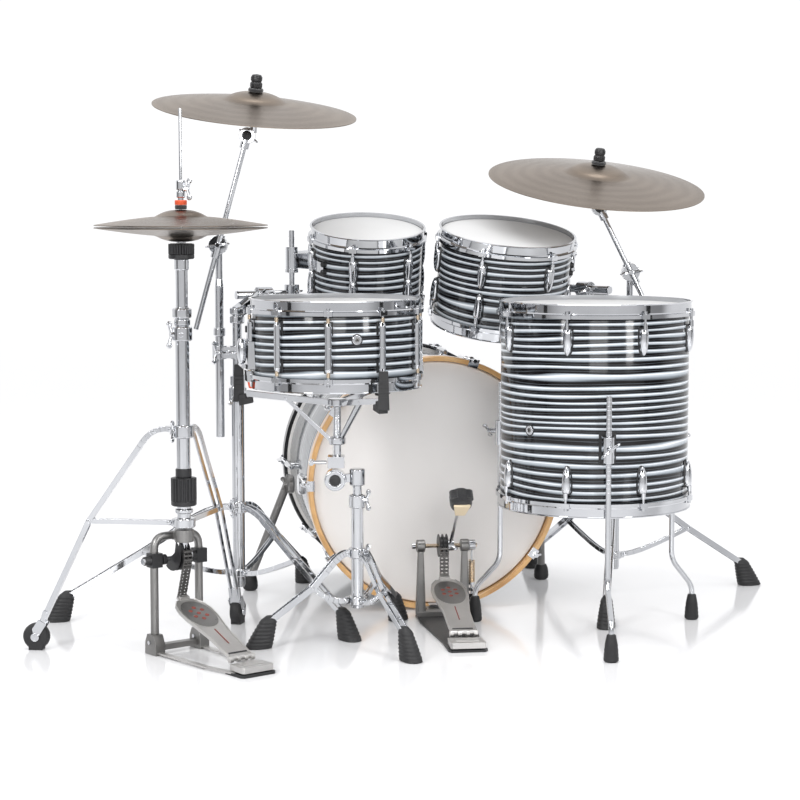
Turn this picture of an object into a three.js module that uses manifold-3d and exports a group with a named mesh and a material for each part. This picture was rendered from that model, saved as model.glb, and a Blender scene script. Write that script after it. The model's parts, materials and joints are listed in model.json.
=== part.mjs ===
// An acoustic drum kit: bass drum with pedal and spurs, snare on a basket stand, two rack toms
// hung from two double stands, floor tom on three legs, hi-hat, crash and ride cymbals.
// Millimetres, +Z up. The drummer sits on the -Y side and looks towards +Y.
// Places are measured from a mark on the floor near the kit's middle; the last lines move the
// whole kit so that its origin is the middle of its footprint, on the floor.
import * as THREE from 'three';
import { mergeVertices } from 'three/addons/utils/BufferGeometryUtils.js';
import Module from 'manifold-3d';

const wasm = await Module();
wasm.setup();

// ---------------------------------------------------------------- driving dimensions

const DRUM_FACETS = 28;
const CYMBAL_FACETS = 24;
const TUBE_FACETS = 12;
const ROD_FACETS = 8;
const CLEARANCE = 0.3;

const SHELL_WALL = 6;
const HOOP_OVERHANG = 10.5;
const HOOP_HEIGHT = 30;
const HEAD_DEPTH = 10;

// lip is the middle of the top hoop's rim, tilt leans the head towards the drummer, roll lowers
// its right side and yaw turns the drum about its own axis
const SNARE = { radius: 177, height: 190, lip: [-177, -212, 737], tilt: 0, roll: 0, yaw: 13 };
const HIGH_TOM = { radius: 126, height: 200, lip: [-114, 157, 882], tilt: 13, roll: 1.8, yaw: 0 };
const MID_TOM = { radius: 151.5, height: 225, lip: [208, 166, 871], tilt: 12, roll: 5.2, yaw: 0 };
const FLOOR_TOM = { radius: 202, height: 444, lip: [380, -160, 729], tilt: 0, roll: 0, yaw: 0 };

const BASS = {
  radius: 278.5, hoopRadius: 293.5, hoopThickness: 11.5, hoopWidth: 34,
  length: 501, headDepth: 17, foot: [41, 101], yaw: 10,
};
const SPUR_HINGE = { out: 297, along: 244, height: 266 };
const SPUR_LEFT_FOOT = [-395, 312];
const SPUR_RIGHT_FOOT = [333, 331];
const SPUR_RADIUS = 9.5;

const FLOOR_LEG = {
  angles: [2.7, 122.7, -117.3], circle: 222, footCircle: 283, top: 541, grip: 108, radius: 6,
};

const BASS_PEDAL = {
  place: [45, 95], yaw: 7.5, posts: -85, postSpacing: 100, shaftHeight: 165,
  heelEnd: -455, hinge: [-385, 28], toe: [-115, 95], beaterLength: 195, beaterAngle: 50,
};
const HIHAT_PEDAL = {
  place: [-508, -336], yaw: 38.6, postSpacing: 110, archHeight: 256,
  heelEnd: -300, hinge: [-238, 28], toe: [-22, 115],
};

const HIHAT = {
  tube: [-489, -359], tubeRadius: 14.3, upperRadius: 12.5, rodRadius: 3.3, rodTop: 1130,
  seat: [822, 857], radius: 178, topRim: 893, topRise: 31, bottomRim: 886, bottomRise: 28,
  clutch: [948, 984],
};
const HIHAT_FEET = [[-808, -321], [-402, -52]];

const SNARE_STAND = {
  tube: [-131, -245], feet: [[-336, -311], [-19, -435], [-45, -19]],
  hub: [-178, -240, 350], post: [-174, -228], armHeight: 522, gripRadius: 207,
};
const BASKET_ANGLES = [180, 60, -60];

// Each double stand carries a tom's arm on its middle tube and a cymbal boom on a side post.
const LEFT_STAND = {
  name: 'left_stand', tube: [-408, 61], feet: [[-807, -30], [-150, -231], [-277, 444]],
  post: [-448, 61], postFoot: 406, pivot: 841, clamp: 599,
  boomLow: [-503, 649], tilter: [-381, 1085], holder: [-351, 128, 726],
};
const RIGHT_STAND = {
  name: 'right_stand', tube: [470, 290], feet: [[814, 410], [416, -101], [295, 650]],
  post: [503, 290], postFoot: 440, pivot: 771, clamp: 640,
  boomLow: [535, 715], tilter: [428, 922], holder: [392, 249, 733],
};
const STAND = {
  tubeRadius: 14.3, tubeFoot: 66, tubeTop: 520, upperRadius: 11, upperFoot: 400,
  upperTop: 690, postRadius: 9.8, boomRadius: 6, drumRadius: 21, drumThickness: 17,
};

const CRASH = {
  name: 'crash', radius: 228.6, rise: 41, bell: 66, rim: [-365, 51, 1141], tilt: 10.4, roll: 5.1,
};
const RIDE = {
  name: 'ride', radius: 254, rise: 45, bell: 72, rim: [420.5, 276, 979.5], tilt: 13.4, roll: 5,
};
const CYMBAL_THICKNESS = 1.6;
const CYMBAL_HOLE = 7;

const HIGH_TOM_ARM = { end: [-413, 100, 726], elbow: [-289, 157, 726], top: 872, radius: 9.5 };
const MID_TOM_ARM = { end: [443, 199, 733], elbow: [346, 294, 733], top: 862, radius: 9.5 };
const L_ROD_RADIUS = 6.3;

// ---------------------------------------------------------------- finishes

function finish(color, roughness, metalness) {
  return new THREE.MeshStandardMaterial({ color, roughness, metalness });
}
const CHROME = finish(0xd8dade, 0.12, 1);
const WRAP = finish(0x2c3138, 0.15, 0.2);
const MAPLE = finish(0xd9a566, 0.4, 0);
const FILM = finish(0xe4e1de, 0.6, 0);
const BRONZE = finish(0xa08c78, 0.35, 0.9);
const PEWTER = finish(0x84858a, 0.4, 0.8);

// ---------------------------------------------------------------- shape helpers

const rad = THREE.MathUtils.degToRad;
const vector = (point) => new THREE.Vector3(...point);

// One set of shared vertices, with no flat triangles left where a profile meets its axis.
function clean(geometry) {
  const bare = new THREE.BufferGeometry();
  bare.setAttribute('position', geometry.getAttribute('position').clone());
  bare.setIndex(geometry.getIndex());
  const merged = mergeVertices(bare, 1e-3);
  const index = merged.getIndex().array;
  const kept = [];
  for (let i = 0; i < index.length; i += 3) {
    const [a, b, c] = [index[i], index[i + 1], index[i + 2]];
    if (a !== b && b !== c && c !== a) kept.push(a, b, c);
  }
  merged.setIndex(kept);
  return merged;
}

function toSolid(geometry) {
  return new wasm.Manifold(new wasm.Mesh({
    numProp: 3,
    vertProperties: new Float32Array(geometry.getAttribute('position').array),
    triVerts: new Uint32Array(geometry.getIndex().array),
  }));
}

function fromSolid(solid) {
  const mesh = solid.getMesh();
  const geometry = new THREE.BufferGeometry();
  geometry.setAttribute('position', new THREE.BufferAttribute(new Float32Array(mesh.vertProperties), 3));
  geometry.setIndex(new THREE.BufferAttribute(new Uint32Array(mesh.triVerts), 1));
  return geometry;
}

function join(...pieces) {
  return fromSolid(pieces.map(toSolid).reduce((whole, piece) => whole.add(piece)));
}

function bore(body, ...holes) {
  return fromSolid(holes.map(toSolid).reduce((rest, hole) => rest.subtract(hole), toSolid(body)));
}

// A solid of revolution about Z from a list of [radius, height], which starts and ends on the
// axis or closes on itself. It is turned in the order that puts the faces outside.
function lathe(profile, facets) {
  const points = profile.map(([radius, height]) => new THREE.Vector2(radius, height));
  if (THREE.ShapeUtils.area(points) < 0) points.reverse();
  return clean(new THREE.LatheGeometry(points, facets)).rotateX(Math.PI / 2);
}

function ring(profile, facets) {
  return lathe([...profile, profile[0]], facets);
}

function rod(from, to, radius, facets = ROD_FACETS, endRadius = radius) {
  const [start, end] = [vector(from), vector(to)];
  const direction = end.clone().sub(start);
  const geometry = clean(new THREE.CylinderGeometry(endRadius, radius, direction.length(), facets));
  const turn = new THREE.Quaternion().setFromUnitVectors(new THREE.Vector3(0, 1, 0), direction.normalize());
  const middle = start.add(end).multiplyScalar(0.5);
  return geometry.applyQuaternion(turn).translate(middle.x, middle.y, middle.z);
}

function block(centre, size) {
  return clean(new THREE.BoxGeometry(...size)).translate(...centre);
}

// A flat bar between two points: wide across, level with the floor, and deep at right angles.
function bar(from, to, wide, deep) {
  const [start, end] = [vector(from), vector(to)];
  const along = end.clone().sub(start);
  const geometry = clean(new THREE.BoxGeometry(wide, deep, along.length()));
  along.normalize();
  const across = new THREE.Vector3(0, 0, 1).cross(along);
  if (across.length() < 1e-6) across.set(1, 0, 0);
  across.normalize();
  const turn = new THREE.Matrix4().makeBasis(across, along.clone().cross(across), along);
  const middle = start.add(end).multiplyScalar(0.5);
  return geometry.applyMatrix4(turn).translate(middle.x, middle.y, middle.z);
}

// A plate whose outline is drawn in the XZ plane, centred on y = 0.
function plate(outline, thickness) {
  const shape = new THREE.Shape(outline.map(([x, z]) => new THREE.Vector2(x, z)));
  const geometry = new THREE.ExtrudeGeometry(shape, { depth: thickness, bevelEnabled: false });
  return clean(geometry).rotateX(Math.PI / 2).translate(0, thickness / 2, 0);
}

const kit = new THREE.Group();

function unit(place, turn = [0, 0, 0], parent = kit) {
  const group = new THREE.Group();
  group.position.set(...place);
  group.rotation.set(...turn.map(rad));
  parent.add(group);
  kit.updateMatrixWorld(true);
  return group;
}

function addPart(group, name, geometry, material) {
  const mesh = new THREE.Mesh(geometry, material);
  mesh.name = name;
  group.add(mesh);
}

const local = (group, point) => group.worldToLocal(vector(point)).toArray();

// ---------------------------------------------------------------- snare and toms

function topHoop(radius) {
  const [inner, lip] = [radius + 1.8, radius + HOOP_OVERHANG];
  const step = HOOP_HEIGHT - 8;
  return ring([
    [inner, -step], [radius + 8.3, -step], [radius + 8.3, -HOOP_HEIGHT], [lip, -HOOP_HEIGHT],
    [lip, 2.2 - step], [radius + 4, 2.2 - step], [radius + 4, 0], [inner, 0],
  ], DRUM_FACETS);
}

// The film crosses the shell's edge and runs down outside it to the ring that the hoop pulls on.
function topHead(radius) {
  const ringTop = CLEARANCE + 8 - HOOP_HEIGHT;
  return lathe([
    [0, -HEAD_DEPTH - 1], [radius + 0.4, -HEAD_DEPTH - 1], [radius + 0.4, ringTop - 5],
    [radius + 6.5, ringTop - 5], [radius + 6.5, ringTop - 0.6], [radius + 1.3, ringTop - 0.6],
    [radius + 1.3, -HEAD_DEPTH], [0, -HEAD_DEPTH],
  ], DRUM_FACETS);
}

// The shell with its lower head and hoop, open at the top.
function shellCup(radius, height) {
  const lip = radius + HOOP_OVERHANG;
  const inner = radius - SHELL_WALL;
  const top = -HEAD_DEPTH - 1 - CLEARANCE;
  return lathe([
    [0, HEAD_DEPTH - height], [radius + 1.8, HEAD_DEPTH - height], [radius + 1.8, -height],
    [lip, -height], [lip, HOOP_HEIGHT - height], [radius, HOOP_HEIGHT - height], [radius, top],
    [inner, top], [inner, HEAD_DEPTH + 2 - height], [0, HEAD_DEPTH + 2 - height],
  ], DRUM_FACETS);
}

function drumUnit(drum) {
  return unit(drum.lip, [drum.tilt, drum.roll, drum.yaw]);
}

function addDrum(group, name, drum, shell = shellCup(drum.radius, drum.height)) {
  addPart(group, `${name}_shell`, shell, WRAP);
  addPart(group, `${name}_top_hoop`, topHoop(drum.radius), CHROME);
  addPart(group, `${name}_top_head`, topHead(drum.radius), FILM);
}

// A rack tom slides on the upright of its L-shaped arm, through a bracket on its shell.
function addRackTom(name, drum, arm) {
  const group = drumUnit(drum);
  const [low, high] = [775, 835].map((height) => local(group, [arm.elbow[0], arm.elbow[1], height]));
  const middle = low.map((value, axis) => (value + high[axis]) / 2);
  const reach = Math.hypot(middle[0], middle[1]);
  const root = middle.map((value, axis) => (axis < 2 ? value * (drum.radius - 2) / reach : value));
  const shell = join(shellCup(drum.radius, drum.height), bar(root, middle, 34, 44), rod(low, high, 14));
  const [below, above] = [760, 850].map((height) => local(group, [arm.elbow[0], arm.elbow[1], height]));
  addDrum(group, name, drum, bore(shell, rod(below, above, L_ROD_RADIUS + 0.7, TUBE_FACETS)));

  const foot = [arm.elbow[0], arm.elbow[1], arm.elbow[2] - 16];
  const top = [arm.elbow[0], arm.elbow[1], arm.top];
  addPart(kit, `${name}_arm`, join(
    rod(arm.end, arm.elbow, arm.radius, TUBE_FACETS),
    rod(foot, [foot[0], foot[1], foot[2] + 38], 17, TUBE_FACETS),
    rod(foot, top, L_ROD_RADIUS),
  ), CHROME);
}

// The strainer plate sits on the snare's left side, and its throw-off lever hangs in front of it.
function addSnare() {
  const group = drumUnit(SNARE);
  const side = -SNARE.radius;
  const strainer = block([side - 7, 0, -120], [18, 40, 60]);
  addDrum(group, 'snare', SNARE, join(shellCup(SNARE.radius, SNARE.height), strainer));
  const lever = join(
    rod([side - 25, -22, -142], [side - 25, 22, -142], 5),
    bar([side - 25, 0, -142], [side - 25, 0, -82], 5, 22),
  );
  addPart(group, 'snare_strainer_lever', lever, CHROME);
}

function addFloorTom() {
  const group = drumUnit(FLOOR_TOM);
  const floor = -FLOOR_TOM.lip[2];
  const top = floor + FLOOR_LEG.top;
  let shell = shellCup(FLOOR_TOM.radius, FLOOR_TOM.height);
  FLOOR_LEG.angles.forEach((angle, i) => {
    const [x, y] = [Math.sin(rad(angle)), -Math.cos(rad(angle))];
    const at = (reach, height) => [x * reach, y * reach, height];
    const line = [
      at(FLOOR_LEG.circle, top), at(FLOOR_LEG.circle, floor + 150),
      at(FLOOR_LEG.footCircle, floor + 75), at(FLOOR_LEG.footCircle, floor + 30),
    ];
    const bends = line.slice(0, -1).map((point, n) => rod(point, line[n + 1], FLOOR_LEG.radius));
    const foot = [floor, floor + 58].map((height) => at(FLOOR_LEG.footCircle, height));
    addPart(group, `floor_tom_leg_${i + 1}`, join(...bends, rod(...foot, 16, ROD_FACETS, 11)), CHROME);
    const grip = top - FLOOR_LEG.grip;
    const bracket = [at(FLOOR_LEG.circle, grip - 30), at(FLOOR_LEG.circle, grip + 30)];
    const fork = bar(at(FLOOR_TOM.radius - 2, grip), at(FLOOR_LEG.circle, grip), 34, 50);
    const hole = rod(at(FLOOR_LEG.circle, grip - 50), at(FLOOR_LEG.circle, grip + 50), 7, TUBE_FACETS);
    shell = bore(join(shell, fork, rod(...bracket, 13)), hole);
  });
  addDrum(group, 'floor_tom', FLOOR_TOM, shell);
}

// ---------------------------------------------------------------- bass drum and its pedal

// Local frame: +Y runs from the drummer's hoop to the far one, z = 0 is the floor.
function bassHoop() {
  const inner = BASS.hoopRadius - BASS.hoopThickness;
  return ring([
    [inner, 0], [BASS.hoopRadius, 0], [BASS.hoopRadius, BASS.hoopWidth], [inner, BASS.hoopWidth],
  ], DRUM_FACETS);
}

function bassHead() {
  const [inner, edge] = [BASS.radius + 0.4, BASS.hoopWidth + CLEARANCE];
  return lathe([
    [0, BASS.headDepth], [inner + 0.9, BASS.headDepth], [inner + 0.9, edge], [inner + 7, edge],
    [inner + 7, edge + 6], [inner, edge + 6], [inner, BASS.headDepth + 1], [0, BASS.headDepth + 1],
  ], DRUM_FACETS);
}

// The shell and its far head, open towards the drummer.
function bassCup() {
  const [near, far] = [BASS.headDepth + 1 + CLEARANCE, BASS.length - BASS.headDepth];
  const inner = BASS.radius - SHELL_WALL;
  const ringEdge = BASS.length - BASS.hoopWidth - CLEARANCE;
  return lathe([
    [0, far - 1], [inner, far - 1], [inner, near], [BASS.radius, near], [BASS.radius, ringEdge - 6],
    [BASS.radius + 7, ringEdge - 6], [BASS.radius + 7, ringEdge], [BASS.radius + 1.3, ringEdge],
    [BASS.radius + 1.3, far], [0, far],
  ], DRUM_FACETS);
}

// Along its own axis a turned piece runs along +Z; this lays it down along the drum's +Y.
function layDown(geometry, shift = 0) {
  return geometry.translate(0, 0, shift).rotateX(-Math.PI / 2).translate(0, 0, BASS.hoopRadius);
}

function addBassDrum() {
  const group = unit([...BASS.foot, 0], [0, 0, BASS.yaw]);
  const brackets = [-1, 1].map((side) => rod(
    [side * (BASS.radius - 8), SPUR_HINGE.along, SPUR_HINGE.height],
    [side * (SPUR_HINGE.out - SPUR_RADIUS - 1), SPUR_HINGE.along, SPUR_HINGE.height], 26, TUBE_FACETS,
  ));
  const facetTurn = Math.PI / DRUM_FACETS;
  addPart(group, 'bass_shell', join(layDown(bassCup().rotateZ(facetTurn)), ...brackets), WRAP);
  addPart(group, 'bass_batter_hoop', layDown(bassHoop().rotateZ(facetTurn)), MAPLE);
  addPart(group, 'bass_batter_head', layDown(bassHead().rotateZ(facetTurn)), FILM);
  const frontHoop = bassHoop().rotateZ(facetTurn);
  addPart(group, 'bass_front_hoop', layDown(frontHoop, BASS.length - BASS.hoopWidth), MAPLE);
  addSpur(group, 'bass_spur_left', -1, SPUR_LEFT_FOOT);
  addSpur(group, 'bass_spur_right', 1, SPUR_RIGHT_FOOT);
}

function addSpur(group, name, side, foot) {
  const hinge = [side * SPUR_HINGE.out, SPUR_HINGE.along, SPUR_HINGE.height];
  const out = [hinge[0] + side * 16, hinge[1], hinge[2]];
  addPart(group, name, join(
    rod(hinge, out, 22, TUBE_FACETS),
    rod([hinge[0] + side * 8, hinge[1], hinge[2] + 24], [foot[0], foot[1], 30], SPUR_RADIUS),
    rod([foot[0], foot[1], 0], [foot[0], foot[1], 46], 14, TUBE_FACETS, 12),
  ), PEWTER);
}

function heelPlate(heelEnd, hingeAlong) {
  const middle = (heelEnd + hingeAlong) / 2;
  return block([0, middle - 6, 13], [78, hingeAlong - heelEnd - 12, 18]);
}

function footboard(pedal) {
  const [hinge, toe] = [[0, ...pedal.hinge], [0, ...pedal.toe]];
  return join(
    bar(hinge, toe, 62, 6),
    rod([-31, ...pedal.hinge], [31, ...pedal.hinge], 5),
  );
}

function addBassPedal() {
  const pedal = BASS_PEDAL;
  const group = unit([...pedal.place, 0], [0, 0, pedal.yaw]);
  const half = pedal.postSpacing / 2;
  const posts = [-half, half].flatMap((x) => [
    bar([x, pedal.posts, 4], [x, pedal.posts, pedal.shaftHeight], 16, 22),
    rod([x - 9, pedal.posts, pedal.shaftHeight], [x + 9, pedal.posts, pedal.shaftHeight], 14, TUBE_FACETS),
  ]);
  const basePlate = block([0, (pedal.heelEnd - 5) / 2, 3], [86, -pedal.heelEnd - 5, 6]);
  const frame = join(basePlate, heelPlate(pedal.heelEnd, pedal.hinge[0]), ...posts,
    block([0, pedal.posts, 10], [116, 30, 16]));
  const shaftHole = rod(
    [-80, pedal.posts, pedal.shaftHeight], [80, pedal.posts, pedal.shaftHeight], 6, TUBE_FACETS,
  );
  addPart(group, 'bass_pedal_frame', bore(frame, shaftHole), PEWTER);
  addPart(group, 'bass_pedal_footboard', footboard(pedal), PEWTER);

  const lean = rad(pedal.beaterAngle);
  const along = (distance, x) => [
    x, pedal.posts - Math.sin(lean) * distance, pedal.shaftHeight + Math.cos(lean) * distance,
  ];
  const head = along(pedal.beaterLength, 17);
  const face = [0, Math.cos(lean) * 22, Math.sin(lean) * 22];
  addPart(group, 'bass_pedal_beater', join(
    rod(along(0, -70), along(0, 78), 5, TUBE_FACETS),
    rod(along(0, -9), along(0, 9), 27, TUBE_FACETS),
    rod(along(0, 9), along(0, 25), 13, TUBE_FACETS),
    rod(along(0, 17), head, 4.5),
    rod(head.map((v, i) => v - face[i]), head.map((v, i) => v + face[i]), 25, TUBE_FACETS),
  ), CHROME);
}

// ---------------------------------------------------------------- stands

// Local frame of a leg: the tube's axis is at x = 0 and the foot lies out along +X.
function legUnit(tube, foot) {
  const turn = THREE.MathUtils.radToDeg(Math.atan2(foot[1] - tube[1], foot[0] - tube[0]));
  return [unit([...tube, 0], [0, 0, turn]), Math.hypot(foot[0] - tube[0], foot[1] - tube[1])];
}

const WEDGE_FOOT = [[-34, 0], [30, 0], [37, 14], [4, 54], [-20, 66], [-38, 48]];

function wedgeLeg(reach, start, knee, joint, brace) {
  const ankle = [reach - 12, 0, 46];
  return join(
    bar(start, knee, 18, 14), bar(knee, joint, 18, 14), bar(joint, ankle, 18, 14),
    bar(brace, joint, 12, 12), plate(WEDGE_FOOT.map(([x, z]) => [reach + x, z]), 38),
  );
}

function addTripod(name, tube, feet, shape) {
  feet.forEach((foot, i) => {
    const [group, reach] = legUnit(tube, foot);
    addPart(group, `${name}_leg_${i + 1}`, wedgeLeg(reach, ...shape(reach)), CHROME);
  });
}

// A tube with collars, each [low, high, radius], and a bore right through it.
function collaredTube(radius, boreRadius, low, high, collars) {
  const outside = collars.flatMap(([from, to, wide]) => [
    [radius, from], [wide, from], [wide, to], [radius, to],
  ]);
  const points = [[boreRadius, low], [radius, low], ...outside, [radius, high], [boreRadius, high]];
  const distinct = points.filter(([r, z], i) => i === 0 || r !== points[i - 1][0] || z !== points[i - 1][1]);
  return ring(distinct, TUBE_FACETS);
}

function holder(arm, centre) {
  const along = vector(arm.elbow).sub(vector(arm.end)).normalize().multiplyScalar(18);
  return [-1, 1].map((side) => centre.map((v, i) => v + side * along.getComponent(i)));
}

function addUpperTube(stand, arm) {
  const [x, y] = stand.tube;
  const [from, to] = holder(arm, stand.holder);
  const clampMiddle = (stand.tube[0] + stand.post[0]) / 2;
  const top = STAND.upperTop;
  const solid = join(
    rod([x, y, STAND.upperFoot], [x, y, top], STAND.upperRadius, TUBE_FACETS),
    rod([x, y, top - 26], [x, y, top + 10], 17, TUBE_FACETS),
    bar([x, y, top], stand.holder, 26, 26),
    rod(from, to, 18, TUBE_FACETS),
    block([clampMiddle, y, stand.clamp], [Math.abs(stand.post[0] - x) + 34, 34, 30]),
  );
  const beyond = (a, b) => a.map((v, i) => v + 3 * (v - b[i]));
  const [below, above] = [-60, 60].map((height) => [...stand.post, stand.clamp + height]);
  addPart(kit, `${stand.name}_upper_tube`, bore(solid,
    rod(beyond(from, to), beyond(to, from), arm.radius + 0.7, TUBE_FACETS),
    rod(below, above, STAND.postRadius + 0.7, TUBE_FACETS),
  ), CHROME);
}

// The post ends in a toothed drum, and the boom's own drum lies against the drummer's side of it.
function addPostAndBoom(stand) {
  const [x, y] = stand.post;
  const half = STAND.drumThickness / 2;
  const [neck, head] = [stand.pivot - 78, stand.pivot - STAND.drumRadius + 4];
  addPart(kit, `${stand.name}_side_post`, join(
    rod([x, y, stand.postFoot], [x, y, neck], STAND.postRadius, TUBE_FACETS),
    rod([x, y, neck - 1], [x, y, head], 8),
    rod([x, y - half, stand.pivot], [x, y + half, stand.pivot], STAND.drumRadius, TUBE_FACETS),
  ), CHROME);
  const plane = y - STAND.drumThickness - 0.5;
  const [low, tilter] = [stand.boomLow, stand.tilter].map(([along, height]) => [along, plane, height]);
  const drum = (centre, radius) => rod(
    [centre[0], plane - half, centre[1]], [centre[0], plane + half, centre[1]], radius, TUBE_FACETS,
  );
  addPart(kit, `${stand.name}_boom`, join(
    rod(low, tilter, STAND.boomRadius), drum([x, stand.pivot], STAND.drumRadius),
    drum(stand.tilter, STAND.drumRadius - 3),
  ), CHROME);
}

function cymbalUnit(cymbal) {
  return unit(cymbal.rim, [cymbal.tilt, cymbal.roll, 0]);
}

// Half of a cymbal's outline: the bell, then a bow that flattens towards the rim.
function cymbalCurve(radius, rise, bell) {
  const bellRise = rise * 0.46;
  const bowRise = rise - bellRise;
  const curve = [[CYMBAL_HOLE, rise], [bell * 0.6, rise - bellRise * 0.3]];
  for (const share of [0, 0.45, 1]) {
    curve.push([bell + (radius - bell) * share, bowRise * (1 - share ** 1.25)]);
  }
  return curve;
}

function cymbalShape(radius, rise, bell) {
  const top = cymbalCurve(radius, rise, bell);
  const under = top.map(([r, s]) => [r, s - CYMBAL_THICKNESS]);
  return ring([...under, ...top.reverse()], CYMBAL_FACETS);
}

function addCymbal(stand, cymbal) {
  const group = cymbalUnit(cymbal);
  addPart(group, `${cymbal.name}_cymbal`, cymbalShape(cymbal.radius, cymbal.rise, cymbal.bell), BRONZE);
  const y = stand.post[1];
  const half = STAND.drumThickness / 2;
  const drum = [y - half, y + half].map((side) => local(group, [stand.tilter[0], side, stand.tilter[1]]));
  const root = [0, 0, -44];
  const knob = cymbal.rise + 4;
  addPart(group, `${cymbal.name}_tilter`, join(
    rod(...drum, STAND.drumRadius - 3, TUBE_FACETS),
    bar(local(group, [stand.tilter[0], y, stand.tilter[1]]), root, 8, 8),
    rod([0, 0, -52], [0, 0, knob + 6], 4),
    rod([0, 0, -18], [0, 0, cymbal.rise - 12], 9),
    rod([0, 0, cymbal.rise - 14], [0, 0, cymbal.rise - 9], 17, TUBE_FACETS),
    rod([0, 0, knob], [0, 0, knob + 40], 14, TUBE_FACETS),
  ), CHROME);
}

function addDoubleStand(stand, arm, cymbal) {
  const tube = collaredTube(STAND.tubeRadius, STAND.upperRadius + 0.8, STAND.tubeFoot, STAND.tubeTop,
    [[86, 104, 20], [233, 259, 21], [486, STAND.tubeTop, 20]]);
  addPart(unit([...stand.tube, 0]), `${stand.name}_tube`, tube, CHROME);
  addTripod(stand.name, stand.tube, stand.feet, (reach) => [
    [24, 0, 247], [78, 0, 232], [reach * 0.54, 0, 150], [24, 0, 97],
  ]);
  addUpperTube(stand, arm);
  addPostAndBoom(stand);
  addCymbal(stand, cymbal);
}

function addSnareStand() {
  const stand = SNARE_STAND;
  const [x, y] = stand.tube;
  const tube = collaredTube(13, 10.3, 74, 318, [[80, 100, 19], [182, 204, 19], [290, 318, 18]]);
  addPart(unit([x, y, 0]), 'snare_stand_tube', tube, CHROME);
  addTripod('snare_stand', stand.tube, stand.feet, (reach) => [
    [22.5, 0, 193], [38, 0, 188], [reach * 0.47, 0, 122], [22.5, 0, 91],
  ]);
  const [hubX, hubY, hubZ] = stand.hub;
  addPart(kit, 'snare_stand_height_tube', join(
    rod([x, y, 215], [x, y, 345], 9.5, TUBE_FACETS), rod([x, y, 338], [x, y, 375], 17, TUBE_FACETS),
    rod([x, y, 357], [hubX, hubY, hubZ], 8),
    rod([hubX, hubY - 18, hubZ], [hubX, hubY + 18, hubZ], 23, TUBE_FACETS),
  ), CHROME);
  addPart(kit, 'snare_stand_basket', basket(), CHROME);
}

// A post with three arms, each with a tie link below it and an upright rubber grip at its end.
function basket() {
  const stand = SNARE_STAND;
  const [x, y] = stand.post;
  const [hubX, hubY, hubZ] = stand.hub;
  const top = stand.armHeight;
  const pieces = [
    block([(x + hubX) / 2, (y + hubY) / 2, hubZ + 38], [36, 44, 24]),
    rod([x, y, hubZ + 40], [x, y, top - 2], 9), rod([x, y, top - 16], [x, y, top], 20, TUBE_FACETS),
    rod([x, y, 424], [x, y, 440], 18, TUBE_FACETS),
  ];
  for (const angle of BASKET_ANGLES) {
    const [dx, dy] = [Math.cos(rad(angle)), Math.sin(rad(angle))];
    const tip = [SNARE.lip[0] + dx * stand.gripRadius, SNARE.lip[1] + dy * stand.gripRadius];
    const at = (share, height) => [x + (tip[0] - x) * share, y + (tip[1] - y) * share, height];
    pieces.push(
      bar(at(0.02, top - 9), at(0.99, top + 12), 12, 12),
      bar(at(0.04, 432), at(0.52, top), 10, 8),
      bar([...tip, top - 4], [...tip, top + 62], 22, 16),
    );
  }
  return join(...pieces);
}

// ---------------------------------------------------------------- hi-hat

function addHiHatTubes() {
  const group = unit([...HIHAT.tube, 0]);
  addPart(group, 'hihat_tube', collaredTube(HIHAT.tubeRadius, HIHAT.upperRadius + 0.8, 266, 722,
    [[266, 286, 24], [308, 386, 27], [454, 480, 22], [655, 722, 21]]), CHROME);
  const [low, high] = HIHAT.seat;
  addPart(group, 'hihat_upper_tube', ring([
    [9, 560], [HIHAT.upperRadius, 560], [HIHAT.upperRadius, low], [27, low], [27, high], [9, high],
  ], TUBE_FACETS), CHROME);
  addPart(group, 'hihat_pull_rod', rod([0, 0, 206], [0, 0, HIHAT.rodTop], HIHAT.rodRadius), CHROME);
}

function addHiHatLegs() {
  HIHAT_FEET.forEach((foot, i) => {
    const [group, reach] = legUnit(HIHAT.tube, foot);
    const ankle = [reach - 12, 0, 50];
    addPart(group, `hihat_leg_${i + 1}`, join(
      bar([23.5, 0, 467], [68, 0, 467], 18, 16), bar([62, 0, 469], [202, 0, 276], 18, 12),
      bar([202, 0, 276], ankle, 18, 12), bar([25.5, 0, 276], [202, 0, 276], 12, 14),
      lathe([[0, 0], [16, 0], [27, 16], [27, 40], [16, 56], [0, 56]], TUBE_FACETS).translate(reach, 0, 0),
    ), CHROME);
  });
}

function addHiHatCymbals() {
  const group = unit([...HIHAT.tube, 0]);
  const [clutchLow, clutchHigh] = HIHAT.clutch;
  const bell = 50;
  const hole = HIHAT.rodRadius + 0.9;
  const curve = cymbalCurve(HIHAT.radius, HIHAT.topRise, bell);
  const neck = curve.slice(1);
  const under = neck.map(([r, s]) => [r, s - CYMBAL_THICKNESS]);
  const height = HIHAT.topRise + HIHAT.topRim;
  // the top cymbal is held by the clutch, a sleeve on the pull rod
  const profile = [
    [hole, HIHAT.topRise - CYMBAL_THICKNESS], ...under, ...neck.reverse(), [14, HIHAT.topRise],
    [14, clutchLow - 8 - HIHAT.topRim], [10, clutchLow - 8 - HIHAT.topRim],
    [10, clutchHigh - HIHAT.topRim], [hole, clutchHigh - HIHAT.topRim],
  ];
  const top = ring(profile, CYMBAL_FACETS).translate(0, 0, HIHAT.topRim);
  addPart(group, 'hihat_top_cymbal', top, BRONZE);
  const bottom = cymbalShape(HIHAT.radius, HIHAT.bottomRise, bell).rotateX(Math.PI);
  addPart(group, 'hihat_bottom_cymbal', bottom.translate(0, 0, HIHAT.bottomRim), BRONZE);
}

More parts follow.
